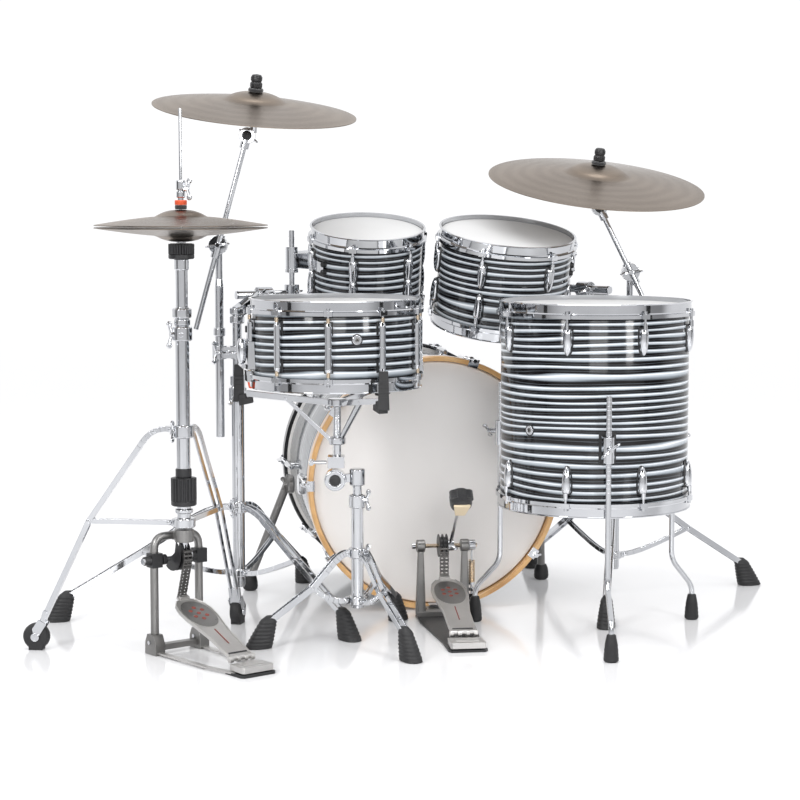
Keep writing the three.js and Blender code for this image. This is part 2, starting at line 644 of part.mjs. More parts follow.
// The pedal's arch carries the tube on a lug on the drummer's side.
function addHiHatPedal() {
  const pedal = HIHAT_PEDAL;
  const group = unit([...pedal.place, 0], [0, 0, pedal.yaw]);
  const half = pedal.postSpacing / 2;
  const tube = local(group, [...HIHAT.tube, pedal.archHeight - 10]);
  const pieces = [
    rod([-half + 12, 0, pedal.archHeight - 9], [half - 12, 0, pedal.archHeight - 9], 9),
    rod([tube[0], tube[1], 236], [tube[0], tube[1], 262], 20, TUBE_FACETS),
    bar([tube[0] * 0.5, 0, pedal.archHeight - 10], tube, 26, 16),
    block([0, 0, 14], [2 * half, 22, 16]),
    heelPlate(pedal.heelEnd, pedal.hinge[0]),
  ];
  for (const side of [-1, 1]) {
    const x = side * half;
    const corner = [side * (half - 12), 0, pedal.archHeight - 9];
    pieces.push(
      rod([x, 0, 10], [x, 0, pedal.archHeight - 21], 9), rod([x, 0, pedal.archHeight - 21], corner, 9),
      block([x, 0, 22], [26, 44, 44]),
      bar([side * (half - 4), 0, 8], [side * 30, pedal.heelEnd + 20, 8], 6, 10),
    );
  }
  const rodHole = rod([tube[0], tube[1], 200], [tube[0], tube[1], 280], 6, TUBE_FACETS);
  addPart(group, 'hihat_pedal_frame', bore(join(...pieces), rodHole), PEWTER);
  addPart(group, 'hihat_footboard', footboard(pedal), PEWTER);
}

// ---------------------------------------------------------------- the kit

addBassDrum();
addBassPedal();
addSnare();
addSnareStand();
addRackTom('high_tom', HIGH_TOM, HIGH_TOM_ARM);
addRackTom('mid_tom', MID_TOM, MID_TOM_ARM);
addFloorTom();
addHiHatTubes();
addHiHatLegs();
addHiHatCymbals();
addHiHatPedal();
addDoubleStand(LEFT_STAND, HIGH_TOM_ARM, CRASH);
addDoubleStand(RIGHT_STAND, MID_TOM_ARM, RIDE);

const extent = new THREE.Box3().setFromObject(kit, true);
const centre = extent.getCenter(new THREE.Vector3());
kit.position.set(-centre.x, -centre.y, -extent.min.z);
kit.updateMatrixWorld(true);

export default kit;
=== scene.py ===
"""An acoustic drum kit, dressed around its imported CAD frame. Lengths are in millimetres, in the
row frame, and become metres as each mesh is made."""
import json
import math

import bpy
from mathutils import Matrix, Vector


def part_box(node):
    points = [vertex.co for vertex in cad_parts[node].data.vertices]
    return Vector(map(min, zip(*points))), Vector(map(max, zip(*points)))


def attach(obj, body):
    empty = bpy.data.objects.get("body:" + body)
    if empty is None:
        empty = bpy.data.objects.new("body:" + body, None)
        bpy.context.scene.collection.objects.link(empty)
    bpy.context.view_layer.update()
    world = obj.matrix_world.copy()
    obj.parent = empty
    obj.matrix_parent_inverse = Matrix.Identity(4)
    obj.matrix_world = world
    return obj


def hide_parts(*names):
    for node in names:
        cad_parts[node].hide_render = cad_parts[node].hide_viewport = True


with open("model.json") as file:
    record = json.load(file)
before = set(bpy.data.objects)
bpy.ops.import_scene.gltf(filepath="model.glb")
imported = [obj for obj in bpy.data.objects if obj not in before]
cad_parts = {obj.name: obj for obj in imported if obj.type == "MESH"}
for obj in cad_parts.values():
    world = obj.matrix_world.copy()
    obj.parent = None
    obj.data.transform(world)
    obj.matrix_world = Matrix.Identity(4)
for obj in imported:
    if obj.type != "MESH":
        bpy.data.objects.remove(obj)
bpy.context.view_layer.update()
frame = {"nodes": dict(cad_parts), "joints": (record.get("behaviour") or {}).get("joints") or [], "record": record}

MM = 0.001
# Facets round a drum, a tube and a small bolt, and round the two largest shapes.
ROUND = 96
TUBE = 32
SMALL = 16
CYMBAL_FACETS = 144
BASS_FACETS = 128
# The wrap's bands: how many to a metre, and how many bands its slow noise shifts them by.
BANDS_PER_METRE = 60
BAND_DRIFT = 3.8

# ------------------------------------------------------------ camera, floor and lights

CAMERA_PLACE = (-43.95, -4748.4, 964)
CAMERA_PITCH = 5.684
CAMERA_LENS = 94.95
SENSOR_WIDTH = 36

# The studio's cards and lights are placed in metres. A panel has its place, aim, size and watts.
FLOOR_REACH = 40
FLAG = {"x": 2.9, "near": -1.95, "far": -1.6, "low": 0.1, "high": 2.6}
PANELS = {
    "key": ((-2.4, -3.4, 2.4), (0, 0, 0.5), (0.8, 2.0), 85),
    "fill": ((2.6, -3.2, 2.0), (0, 0, 0.6), (0.6, 2.0), 60),
    "front": ((0.3, -6.5, 1.9), (0, 0, 0.4), (2.4, 1.6), 60),
    "top": ((0, -0.6, 4.2), (0, 0, 0), (3.0, 2.0), 80),
}
# The world's grey by direction: 0 is straight towards the camera and 1 straight away from it.
WORLD_STOPS = [
    (0.0, 0.76), (0.16, 0.74), (0.25, 0.34), (0.31, 0.07), (0.44, 0.04), (0.53, 0.80), (0.60, 1.0),
]
WORLD_STRENGTH = 1.05
WORLD_BLUE = 1.01
# How much looking straight up counts as looking away from the camera.
WORLD_LIFT = 0.8


def add_camera():
    data = bpy.data.cameras.new("camera")
    data.lens = CAMERA_LENS
    data.sensor_width = SENSOR_WIDTH
    camera = bpy.data.objects.new("camera", data)
    camera.location = Vector(CAMERA_PLACE) * MM
    camera.rotation_euler = (math.radians(90 - CAMERA_PITCH), 0, 0)
    bpy.context.scene.collection.objects.link(camera)
    bpy.context.scene.camera = camera


def add_panel(name, place, aim, size, power):
    data = bpy.data.lights.new(name, "AREA")
    data.shape = "RECTANGLE"
    data.size, data.size_y = size
    data.energy = power
    light = bpy.data.objects.new(name, data)
    light.location = place
    light.rotation_euler = (Vector(aim) - Vector(place)).to_track_quat("-Z", "Y").to_euler()
    bpy.context.scene.collection.objects.link(light)


def add_card(name, corners, material):
    mesh = bpy.data.meshes.new(name)
    mesh.from_pydata(corners, [], [tuple(range(len(corners)))])
    card = bpy.data.objects.new(name, mesh)
    mesh.materials.append(material)
    bpy.context.scene.collection.objects.link(card)
    return card


def fill_ramp(node, stops):
    """Sets a colour ramp's stops, each a position and a colour."""
    elements = node.color_ramp.elements
    while len(elements) < len(stops):
        elements.new(0.5)
    for element, (position, color) in zip(elements, stops):
        element.position = position
        element.color = (*color, 1)


def studio_world():
    world = bpy.data.worlds.new("studio")
    bpy.context.scene.world = world
    world.use_nodes = True
    tree = world.node_tree
    background = tree.nodes["Background"]
    background.inputs["Strength"].default_value = WORLD_STRENGTH
    split = tree.nodes.new("ShaderNodeSeparateXYZ")
    tree.links.new(tree.nodes.new("ShaderNodeTexCoord").outputs["Generated"], split.inputs["Vector"])
    lifted = tree.nodes.new("ShaderNodeMath")
    lifted.operation = "MULTIPLY_ADD"
    lifted.inputs[1].default_value = WORLD_LIFT
    tree.links.new(split.outputs["Z"], lifted.inputs[0])
    tree.links.new(split.outputs["Y"], lifted.inputs[2])
    shift = tree.nodes.new("ShaderNodeMapRange")
    shift.inputs["From Min"].default_value = -1
    tree.links.new(lifted.outputs["Value"], shift.inputs["Value"])
    ramp = tree.nodes.new("ShaderNodeValToRGB")
    fill_ramp(ramp, [(position, (grey, grey, grey * WORLD_BLUE)) for position, grey in WORLD_STOPS])
    tree.links.new(shift.outputs["Result"], ramp.inputs["Fac"])
    tree.links.new(ramp.outputs["Color"], background.inputs["Color"])


def add_stage():
    bpy.context.scene.view_settings.view_transform = "Standard"
    far = FLOOR_REACH
    add_card("floor", [(-far, -far, 0), (far, -far, 0), (far, far, 0), (-far, far, 0)], studio_floor())
    studio_world()
    black = plain("studio_flag", (0.01, 0.01, 0.01), 0.9)
    outline = (("near", "low"), ("far", "low"), ("far", "high"), ("near", "high"))
    for side in (-1, 1):
        corners = [(side * FLAG["x"], FLAG[y], FLAG[z]) for y, z in outline]
        flag = add_card(f"flag_{side}", corners, black)
        flag.visible_camera = False
    for name, settings in PANELS.items():
        add_panel(name, *settings)


# ------------------------------------------------------------ materials


class Nodes:
    """Short calls for building one material's node tree."""

    def __init__(self, name):
        self.material = bpy.data.materials.new(name)
        self.material.use_nodes = True
        self.tree = self.material.node_tree
        self.shader = self.tree.nodes["Principled BSDF"]

    def set(self, **values):
        for name, value in values.items():
            self.shader.inputs[name.replace("_", " ")].default_value = value
        return self

    def add(self, kind, inputs=(), **settings):
        node = self.tree.nodes.new("ShaderNode" + kind)
        for name, value in settings.items():
            setattr(node, name, value)
        for name, value in dict(inputs).items():
            if isinstance(value, bpy.types.NodeSocket):
                self.tree.links.new(value, node.inputs[name])
            else:
                node.inputs[name].default_value = value
        return node

    def link(self, socket, name):
        self.tree.links.new(socket, self.shader.inputs[name])

    def place(self, scale=(1, 1, 1)):
        here = self.add("TexCoord").outputs["Object"]
        return self.add("Mapping", {"Vector": here, "Scale": scale}).outputs["Vector"]

    def noise(self, scale, stretch=(1, 1, 1), detail=4.0, distortion=0.0):
        return self.add("TexNoise", {
            "Vector": self.place(stretch), "Scale": scale, "Detail": detail, "Distortion": distortion,
        }).outputs["Fac"]

    def rings(self, scale, distortion, detail):
        """Rings round the piece's own upright axis."""
        return self.add("TexWave", {
            "Vector": self.place((1, 1, 0)), "Scale": scale, "Distortion": distortion, "Detail": detail,
        }, wave_type="RINGS", rings_direction="Z").outputs["Fac"]

    def ramp(self, factor, stops):
        node = self.add("ValToRGB", {"Fac": factor})
        fill_ramp(node, stops)
        return node.outputs["Color"]

    def spread(self, factor, low, high):
        node = self.add("MapRange", {"Value": factor, "To Min": low, "To Max": high})
        return node.outputs["Result"]

    def bump(self, height, strength, distance):
        node = self.add("Bump", {"Height": height, "Strength": strength, "Distance": distance})
        self.link(node.outputs["Normal"], "Normal")


def plain(name, color, roughness):
    return Nodes(name).set(Base_Color=(*color, 1), Roughness=roughness).material


def worn(name, color, dark, roughness, metallic, grain, bump):
    """A moulded, cast or plated surface: slight colour and gloss variation over a fine grain."""
    nodes = Nodes(name).set(Metallic=metallic)
    wide = nodes.noise(9, detail=5)
    fine = nodes.noise(grain, detail=3)
    nodes.link(nodes.ramp(wide, [(0.35, dark), (0.65, color)]), "Base Color")
    nodes.link(nodes.spread(fine, roughness * 0.75, roughness * 1.25), "Roughness")
    nodes.bump(fine, bump, 0.0004)
    return nodes.material


def studio_floor():
    nodes = Nodes("studio_floor").set(Base_Color=(0.80, 0.80, 0.81, 1), Roughness=0.11)
    nodes.set(Emission_Color=(1, 1, 1, 1), Emission_Strength=0.06)
    return nodes.material


def drum_wrap():
    """Gloss black with silvery bands that run round the shell and drift, swell and thin out."""
    nodes = Nodes("drum_wrap").set(Specular_IOR_Level=0.28, Coat_Weight=0.08, Coat_Roughness=0.03)
    drift = nodes.noise(1.0, (0.9, 0.9, 9), detail=2.2)
    along = nodes.add("SeparateXYZ", {"Vector": nodes.place((1, 1, BANDS_PER_METRE))}).outputs["Z"]
    shifted = {0: drift, 1: BAND_DRIFT, 2: along}
    phase = nodes.add("Math", shifted, operation="MULTIPLY_ADD").outputs["Value"]
    band = nodes.add("Math", {0: phase}, operation="FRACT").outputs["Value"]
    swell = nodes.spread(nodes.noise(1.0, (2.4, 2.4, 42), detail=2.5), -0.32, 0.36)
    width = nodes.add("Math", {0: band, 1: swell}, operation="ADD").outputs["Value"]
    black, slate = (0.005, 0.0042, 0.0048), (0.10, 0.115, 0.13)
    silver, white = (0.36, 0.40, 0.44), (0.88, 0.90, 0.93)
    soft = [
        (0.0, black), (0.10, black), (0.15, slate), (0.17, black), (0.38, black), (0.45, slate),
        (0.56, silver), (0.68, (0.52, 0.56, 0.60)), (0.76, white), (0.83, silver), (0.90, slate),
        (0.93, black),
    ]
    nodes.link(nodes.ramp(width, soft), "Base Color")
    nodes.link(nodes.spread(nodes.noise(30), 0.07, 0.14), "Roughness")
    return nodes.material


def coated_film(name, thin, thick):
    nodes = Nodes(name).set(Roughness=0.6)
    fine = nodes.noise(900, detail=2)
    nodes.link(nodes.ramp(nodes.noise(3.5), [(0.3, thin), (0.7, thick)]), "Base Color")
    nodes.link(nodes.spread(fine, 0.5, 0.72), "Roughness")
    nodes.bump(fine, 0.25, 0.0003)
    return nodes.material


def maple():
    nodes = Nodes("maple").set(Roughness=0.3, Coat_Weight=0.5, Coat_Roughness=0.15)
    grain = nodes.noise(1.0, (14, 14, 260), detail=6, distortion=0.6)
    dark, golden, pale = (0.52, 0.27, 0.10), (0.72, 0.42, 0.17), (0.80, 0.52, 0.25)
    nodes.link(nodes.ramp(grain, [(0.3, dark), (0.5, golden), (0.75, pale)]), "Base Color")
    nodes.bump(grain, 0.15, 0.0003)
    return nodes.material


def bronze():
    """Lathed bronze: fine rings and broad ones round the bell, and a highlight that fans out from
    the middle."""
    nodes = Nodes("bronze").set(Metallic=1.0, Anisotropic=0.75)
    rings = nodes.rings(120.0, 0.5, 2.0)
    broad = nodes.rings(9.0, 2.5, 3.0)
    dark, bright = (0.222, 0.182, 0.147), (0.252, 0.209, 0.170)
    nodes.link(nodes.ramp(broad, [(0.1, dark), (0.9, bright)]), "Base Color")
    nodes.link(nodes.spread(rings, 0.22, 0.34), "Roughness")
    nodes.bump(rings, 0.35, 0.0003)
    tangent = nodes.add("Tangent", direction_type="RADIAL", axis="Z")
    nodes.link(tangent.outputs["Tangent"], "Tangent")
    return nodes.material


def felt_wool():
    nodes = Nodes("wool_felt").set(Roughness=0.95, Sheen_Weight=0.4)
    fibres = nodes.noise(700, detail=5)
    dark, bright = (0.008, 0.008, 0.009), (0.03, 0.03, 0.032)
    nodes.link(nodes.ramp(fibres, [(0.3, dark), (0.7, bright)]), "Base Color")
    nodes.bump(fibres, 0.8, 0.0008)
    return nodes.material


def cast_metal():
    return worn("cast_metal", (0.28, 0.275, 0.27), (0.21, 0.206, 0.20), 0.36, 0.9, 420, 0.25)


def plating():
    return worn("plating", (0.60, 0.61, 0.63), (0.53, 0.54, 0.56), 0.06, 1.0, 60, 0.01)


FINISHES = {
    "drum_wrap": drum_wrap(),
    "drum_head": coated_film("coated_film", (0.80, 0.775, 0.755), (0.85, 0.83, 0.81)),
    "hoop_wood": maple(),
    "cymbal_bronze": bronze(),
    "chrome_hardware": plating(),
    "pewter_casting": cast_metal(),
    "felt": felt_wool(),
    "rubber": worn("moulded_rubber", (0.018, 0.018, 0.019), (0.010, 0.010, 0.011), 0.55, 0.0, 300, 0.3),
    "black_plastic": worn(
        "black_nylon", (0.016, 0.016, 0.018), (0.010, 0.010, 0.011), 0.38, 0.0, 500, 0.15
    ),
    "brass_fittings": worn("plain_brass", (0.66, 0.46, 0.22), (0.52, 0.35, 0.16), 0.25, 1.0, 200, 0.05),
    "red_detail": worn("orange_red_plastic", (0.74, 0.10, 0.03), (0.62, 0.075, 0.022), 0.4, 0.0, 200, 0.1),
}
# Dark steel for the pedal chains. On the vent grommets the same dark colour is painted shade for the shaded inside
# of the vent hole.
DARK_STEEL_AND_VENT_SHADE = worn("dark_steel_and_vent_shade", (0.17, 0.165, 0.16), (0.12, 0.117, 0.113), 0.36, 0.85, 500, 0.3)
BRIGHT_CASTING = worn("bright_casting", (0.60, 0.59, 0.575), (0.50, 0.49, 0.48), 0.36, 0.9, 420, 0.25)
DULL_RED = worn("dull_red_rubber", (0.24, 0.05, 0.035), (0.18, 0.038, 0.027), 0.6, 0.0, 300, 0.1)
CREAM = worn("cream_plastic", (0.78, 0.66, 0.47), (0.72, 0.60, 0.42), 0.45, 0.0, 200, 0.05)
CHAMPAGNE = worn("champagne_steel", (0.74, 0.62, 0.47), (0.64, 0.52, 0.39), 0.2, 1.0, 200, 0.05)
# The toms' and the snare's coated heads are thinner than the bass head, and so greyer.
THIN_FILM = coated_film("thin_film", (0.56, 0.56, 0.56), (0.60, 0.60, 0.60))
# The far hoop is stained black; it shares the maple hoop's slot.
BLACK_WOOD = worn("black_lacquer", (0.015, 0.015, 0.017), (0.008, 0.008, 0.009), 0.15, 0.0, 60, 0.05)

# ------------------------------------------------------------ shapes

IDENTITY = Matrix.Identity(4)


def turned(place, tilt=0.0, roll=0.0, yaw=0.0):
    """A unit's own frame: its place in millimetres, then its turns about X, Y and Z."""
    turn = IDENTITY
    for angle, axis in ((tilt, "X"), (roll, "Y"), (yaw, "Z")):
        turn = turn @ Matrix.Rotation(math.radians(angle), 4, axis)
    return Matrix.Translation(Vector(place)) @ turn


def inside(unit, point):
    """A point of the row frame, in a unit's own frame."""
    return tuple(unit.inverted() @ Vector(point))


def polar(reach, angle, height=0.0):
    """A point at an angle from the drummer's side, growing towards +X."""
    return (reach * math.sin(math.radians(angle)), -reach * math.cos(math.radians(angle)), height)


def bow(start, middle, end, steps=8):
    """Points along a quadratic curve from start to end, drawn towards middle."""
    a, b, c = Vector(start), Vector(middle), Vector(end)
    return [tuple(a.lerp(b, t / steps).lerp(b.lerp(c, t / steps), t / steps)) for t in range(steps + 1)]


def helix(start, end, radius, turns, steps=10):
    """Points along a coil from start to end."""
    a, b = Vector(start), Vector(end)
    turn = (b - a).to_track_quat("Z", "Y").to_matrix()
    points = []
    for i in range(turns * steps + 1):
        angle = 2 * math.pi * i / steps
        offset = turn @ Vector((radius * math.cos(angle), radius * math.sin(angle), 0))
        points.append(tuple(a.lerp(b, i / (turns * steps)) + offset))
    return points


class Piece:
    """One visible piece of one material, put together from closed shapes in its unit's frame."""

    def __init__(self, name, unit=IDENTITY):
        self.name = name
        self.unit = unit
        self.points = []
        self.faces = []

    def _add(self, points, faces, place=IDENTITY):
        base = len(self.points)
        self.points += [place @ Vector(point) for point in points]
        self.faces += [[base + i for i in face] for face in faces]
        return self

    def _rings(self, rings, closed, place=IDENTITY):
        """Skins a row of point rings, and caps both ends unless the row closes on itself."""
        count = len(rings[0])
        points = [point for ring in rings for point in ring]
        faces = []
        for i in range(len(rings) if closed else len(rings) - 1):
            a, b = i * count, (i + 1) % len(rings) * count
            faces += [(a + j, a + (j + 1) % count, b + (j + 1) % count, b + j) for j in range(count)]
        if not closed:
            last = (len(rings) - 1) * count
            faces += [tuple(reversed(range(count))), tuple(range(last, last + count))]
        return self._add(points, faces, place)

    def lathe(self, profile, low=(0, 0, 0), axis=(0, 0, 1), facets=ROUND):
        """A turned shape from [radius, height] pairs about an axis through low."""
        area = sum(a[0] * b[1] - b[0] * a[1] for a, b in zip(profile, profile[1:] + profile[:1]))
        line = list(profile) if area > 0 else list(reversed(profile))
        closed = line[0][0] > 1e-6 and line[-1][0] > 1e-6
        steps = [2 * math.pi * i / facets for i in range(facets)]
        turn = Vector(axis).to_track_quat("Z", "Y").to_matrix().to_4x4()
        place = Matrix.Translation(Vector(low)) @ turn
        rings = []
        for radius, height in line:
            reach = max(radius, 0.01)
            rings.append([(reach * math.cos(a), reach * math.sin(a), height) for a in steps])
        return self._rings(rings, closed, place)

    def rod(self, start, end, radius, end_radius=None, facets=TUBE):
        along = Vector(end) - Vector(start)
        tip = radius if end_radius is None else end_radius
        profile = [(0, 0), (radius, 0), (tip, along.length), (0, along.length)]
        return self.lathe(profile, start, along, facets)

    def post(self, x, y, low, high, radius, end_radius=None, **facets):
        """An upright rod."""
        return self.rod((x, y, low), (x, y, high), radius, end_radius, **facets)

    def pipe(self, line, radius, facets=SMALL):
        """A round bar bent along a line of points."""
        points = [Vector(point) for point in line]
        rings = []
        side = None
        for i, point in enumerate(points):
            along = (points[min(i + 1, len(points) - 1)] - points[max(i - 1, 0)]).normalized()
            side = along.orthogonal() if side is None else side - along * side.dot(along)
            side.normalize()
            up = along.cross(side)
            ring = []
            for step in range(facets):
                angle = 2 * math.pi * step / facets
                ring.append(point + (side * math.cos(angle) + up * math.sin(angle)) * radius)
            rings.append(ring)
        return self._rings(rings, False)

    def bar(self, start, end, wide, deep, end_wide=None, end_deep=None):
        """A flat bar: wide across, level with the floor, and deep at right angles to that."""
        along = (Vector(end) - Vector(start)).normalized()
        across = Vector((0, 0, 1)).cross(along)
        across = across.normalized() if across.length > 1e-6 else Vector((1, 0, 0))
        up = along.cross(across)
        rings = []
        for point, w, d in ((start, wide, deep), (end, end_wide or wide, end_deep or deep)):
            corners = ((-1, -1), (1, -1), (1, 1), (-1, 1))
            rings.append([Vector(point) + across * x * w / 2 + up * y * d / 2 for x, y in corners])
        return self._rings(rings, False)

    def block(self, centre, size):
        x, y, z = centre
        return self.bar((x, y, z - size[2] / 2), (x, y, z + size[2] / 2), size[0], size[1])

    def plate(self, outline, low, high, facing="Y"):
        """A plate between low and high along Y, X or Z, cut to an outline in the other two."""
        area = sum(a[0] * b[1] - b[0] * a[1] for a, b in zip(outline, outline[1:] + outline[:1]))
        line = list(outline) if area > 0 else list(reversed(outline))
        lift = {
            "Z": lambda a, b, h: (a, b, h),
            "Y": lambda a, b, h: (a, -h, b),
            "X": lambda a, b, h: (h, a, b),
        }[facing]
        span = (-high, -low) if facing == "Y" else (low, high)
        return self._rings([[lift(a, b, h) for a, b in line] for h in span], False)

    def strip(self, line, depth, low, high):
        """A strip that follows a line in the XZ plane, depth thick there, from low to high in Y."""
        upper, lower = [], []
        for i, (x, z) in enumerate(line):
            before, after = line[max(i - 1, 0)], line[min(i + 1, len(line) - 1)]
            along = Vector((after[0] - before[0], after[1] - before[1])).normalized()
            upper.append((x - along.y * depth / 2, z + along.x * depth / 2))
            lower.append((x + along.y * depth / 2, z - along.x * depth / 2))
        for i in range(len(line) - 1):
            self.plate([lower[i], lower[i + 1], upper[i + 1], upper[i]], low, high)
        return self

    def loft(self, levels, power=2.4, steps=40):
        """A shape skinned over squared ovals, each [height, middle x, half length, half width]."""
        rings = []
        for height, middle_x, long, wide in levels:
            ring = []
            for step in range(steps):
                c, s = math.cos(2 * math.pi * step / steps), math.sin(2 * math.pi * step / steps)
                x = math.copysign(abs(c) ** (2 / power), c) * long
                ring.append((middle_x + x, math.copysign(abs(s) ** (2 / power), s) * wide, height))
            rings.append(ring)
        return self._rings(rings, False)

    def wing(self, centre, axis, span, knob=5.0, lean=(0, 0, 1)):
        """A wing nut or wing screw: a hub on an axis with two flat ears along lean."""
        out, ears = Vector(axis).normalized(), Vector(lean).normalized()
        middle = Vector(centre)
        self.rod(middle, middle + out * 11, knob, knob * 0.8, SMALL)
        for side in (-1, 1):
            root = middle + out * 6
            tip = middle + out * 12 + ears * side * span / 2
            self.pipe([root, root.lerp(tip, 0.5) + out * 1.5, tip], 3.2, 10)
            ear = [(0, -2.4), (4.6, -2.4), (6.4, 0), (4.6, 2.4), (0, 2.4)]
            self.lathe(ear, tip, out.cross(ears), SMALL)
        return self

    def build(self, body, slot, replaces=(), bevel=0.6, material=None, sharp=32):
        mesh = bpy.data.meshes.new(self.name)
        mesh.from_pydata([tuple(point * MM) for point in self.points], [], self.faces)
        mesh.update()
        mesh.polygons.foreach_set("use_smooth", [True] * len(mesh.polygons))
        mesh.set_sharp_from_angle(angle=math.radians(sharp))
        mesh.materials.append(material or FINISHES[slot])
        piece = bpy.data.objects.new(self.name, mesh)
        scaled = self.unit.copy()
        scaled.translation = self.unit.translation * MM
        piece.matrix_world = scaled
        bpy.context.scene.collection.objects.link(piece)
        if bevel:
            edge = piece.modifiers.new("edge", "BEVEL")
            edge.width = bevel * MM
            edge.segments = 2
            edge.limit_method = "ANGLE"
            edge.angle_limit = math.radians(sharp + 4)
            edge.harden_normals = True
        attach(piece, body)
        if replaces:
            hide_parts(*replaces)
        return piece


# ------------------------------------------------------------ places read from the frame


def middle(node):
    """The middle of a CAD node's box."""
    low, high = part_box(node)
    return tuple((low + high) / 2 / MM)


def pin(joint):
    """Where a joint's axis is pinned."""
    return tuple(Vector(next(j["pos_m"] for j in frame["joints"] if j["name"] == joint)) / MM)


def axis_of(joint):
    return Vector(next(j["axis"] for j in frame["joints"] if j["name"] == joint))


def face(mount):
    """A mount's point and normal."""
    found = next(m for m in frame["record"]["mounts"] if m["name"] == mount)
    return Vector(found["pos_m"]) / MM, Vector(found["axis"])


def drum_frame(mount, yaw=0.0):
    """A drum's frame: its lip's middle and its lean, from the playing face of its head."""
    point, normal = face(mount)
    roll = math.degrees(math.asin(normal.x))
    tilt = math.degrees(math.atan2(-normal.y, normal.z))
    return turned(point + normal * HEAD_DEPTH, tilt, roll, yaw)


def foot_of(node):
    """The middle of what a CAD node puts on the floor."""
    points = [v.co / MM for v in frame["nodes"][node].data.vertices if v.co.z < 0.5 * MM]
    xs, ys = [p.x for p in points], [p.y for p in points]
    return ((min(xs) + max(xs)) / 2, (min(ys) + max(ys)) / 2)


# ------------------------------------------------------------ snare and toms

HEAD_DEPTH = 10
HOOP_HEIGHT = 30
HOOP_LIP = 10.5
SHELL_WALL = 6
# How far the tension rods stand out from the shell.
ROD_OUT = 9.5
# The snare drum is turned by this much on its stand.
SNARE_YAW = 13

# Each drum's radius and height, and the angles of its lugs and its vent's angle and height.
SNARE = {
    "radius": 177, "height": 190, "lugs": [-39 - SNARE_YAW + 36 * k for k in range(10)],
    "vent": (16 - SNARE_YAW, -79),
}
HIGH_TOM = {"radius": 126, "height": 200, "lugs": [-13 + 60 * k for k in range(6)]}
MID_TOM = {"radius": 151.5, "height": 225, "lugs": [-22 + 60 * k for k in range(6)]}
FLOOR_TOM = {
    "radius": 202, "height": 444, "lugs": [-21 + 45 * k for k in range(8)], "vent": (-47, -267),
}


def hoop_profile(radius, low, up):
    """A triple-flanged steel hoop; low is its playing edge's height and up the way it opens."""
    line = [
        (1.8, 0), (6.6, 0), (7.4, 1.0), (6.6, 2.2), (4.2, 2.4), (4.2, 19), (6.0, 21.6), (HOOP_LIP, 22.4),
        (HOOP_LIP, HOOP_HEIGHT), (8.3, HOOP_HEIGHT), (8.3, 24.2), (4.6, 23.6), (2.4, 21.4), (1.8, 19),
    ]
    return [(radius + r, low - up * h) for r, h in line]


def head_profile(radius, edge, up):
    """Film over the bearing edge, and the aluminium ring it is crimped into."""
    line = [
        (-radius, 11), (-7, 11), (0.4, 11), (0.4, 24.8), (6.5, 24.8), (6.5, 22.4), (1.3, 22.2),
        (1.3, 12.4), (0.9, 10.5), (-0.4, HEAD_DEPTH), (-radius, HEAD_DEPTH),
    ]
    return [(radius + r, edge - up * h) for r, h in line]


def tension_ears(piece, radius, angles, edge, up):
    """The hoop's ears, one at each rod."""
    for angle in angles:
        height = edge - up * (HOOP_HEIGHT - 5)
        piece.bar(polar(radius + 4, angle, height), polar(radius + 15, angle, height), 21, 12, 17, 11)


def tension_rod(piece, radius, angle, start, end):
    """A square-headed rod; start is the head's height at the hoop and end its nut in the lug."""
    out = radius + ROD_OUT
    piece.rod(polar(out, angle, start), polar(out, angle, end), 2.8, facets=SMALL)
    way = 1 if start > end else -1
    piece.rod(polar(out, angle, start - way * 2), polar(out, angle, start + way * 1.5), 6, facets=SMALL)
    piece.rod(polar(out, angle, start), polar(out, angle, start + way * 7), 3.9, facets=SMALL)


def drop_lug(piece, seats, radius, angle, top, way):
    """A teardrop lug that points away from its hoop, on a dark gasket."""
    profile = [
        (0, 0), (7.4, 0.6), (9.2, 3), (10, 10), (10.2, 22), (9.4, 34), (7.6, 45), (4.6, 53), (0, 57),
    ]
    gasket = [
        (0, -3), (9, -2.4), (11.6, 2), (12.2, 12), (12.2, 24), (11.4, 36), (9.6, 48), (6, 57), (0, 61),
    ]
    seats.lathe(gasket, polar(radius - 4, angle, top), (0, 0, -way), TUBE)
    piece.lathe(profile, polar(radius + 4.5, angle, top), (0, 0, -way), TUBE)
    out = radius + ROD_OUT
    piece.rod(polar(out, angle, top - way * 2), polar(out, angle, top + way * 11), 5.2, 4.6)


def bridge_lug(piece, seats, nuts, radius, angle, top, bottom):
    """A long rounded bridge that carries both rods, with a swivel nut showing at each end."""
    reach, middle_height = radius + 7, (top + bottom) / 2
    for start, end in ((middle_height, top), (middle_height, bottom)):
        way = 1 if end > start else -1
        piece.rod(polar(reach, angle, start), polar(reach, angle, end - way * 9), 7.8)
        piece.rod(polar(reach, angle, end - way * 9), polar(reach, angle, end), 7.8, 4.6)
        piece.bar(polar(radius - 1, angle, end - way * 13), polar(reach, angle, end - way * 13), 13, 20)
        out = radius + ROD_OUT
        nuts.rod(polar(out, angle, end - way * 2), polar(out, angle, end + way * 8), 4)
        seat = end - way * 14
        seats.bar(polar(radius - 2, angle, seat), polar(radius + 1.6, angle, seat), 19, 28)


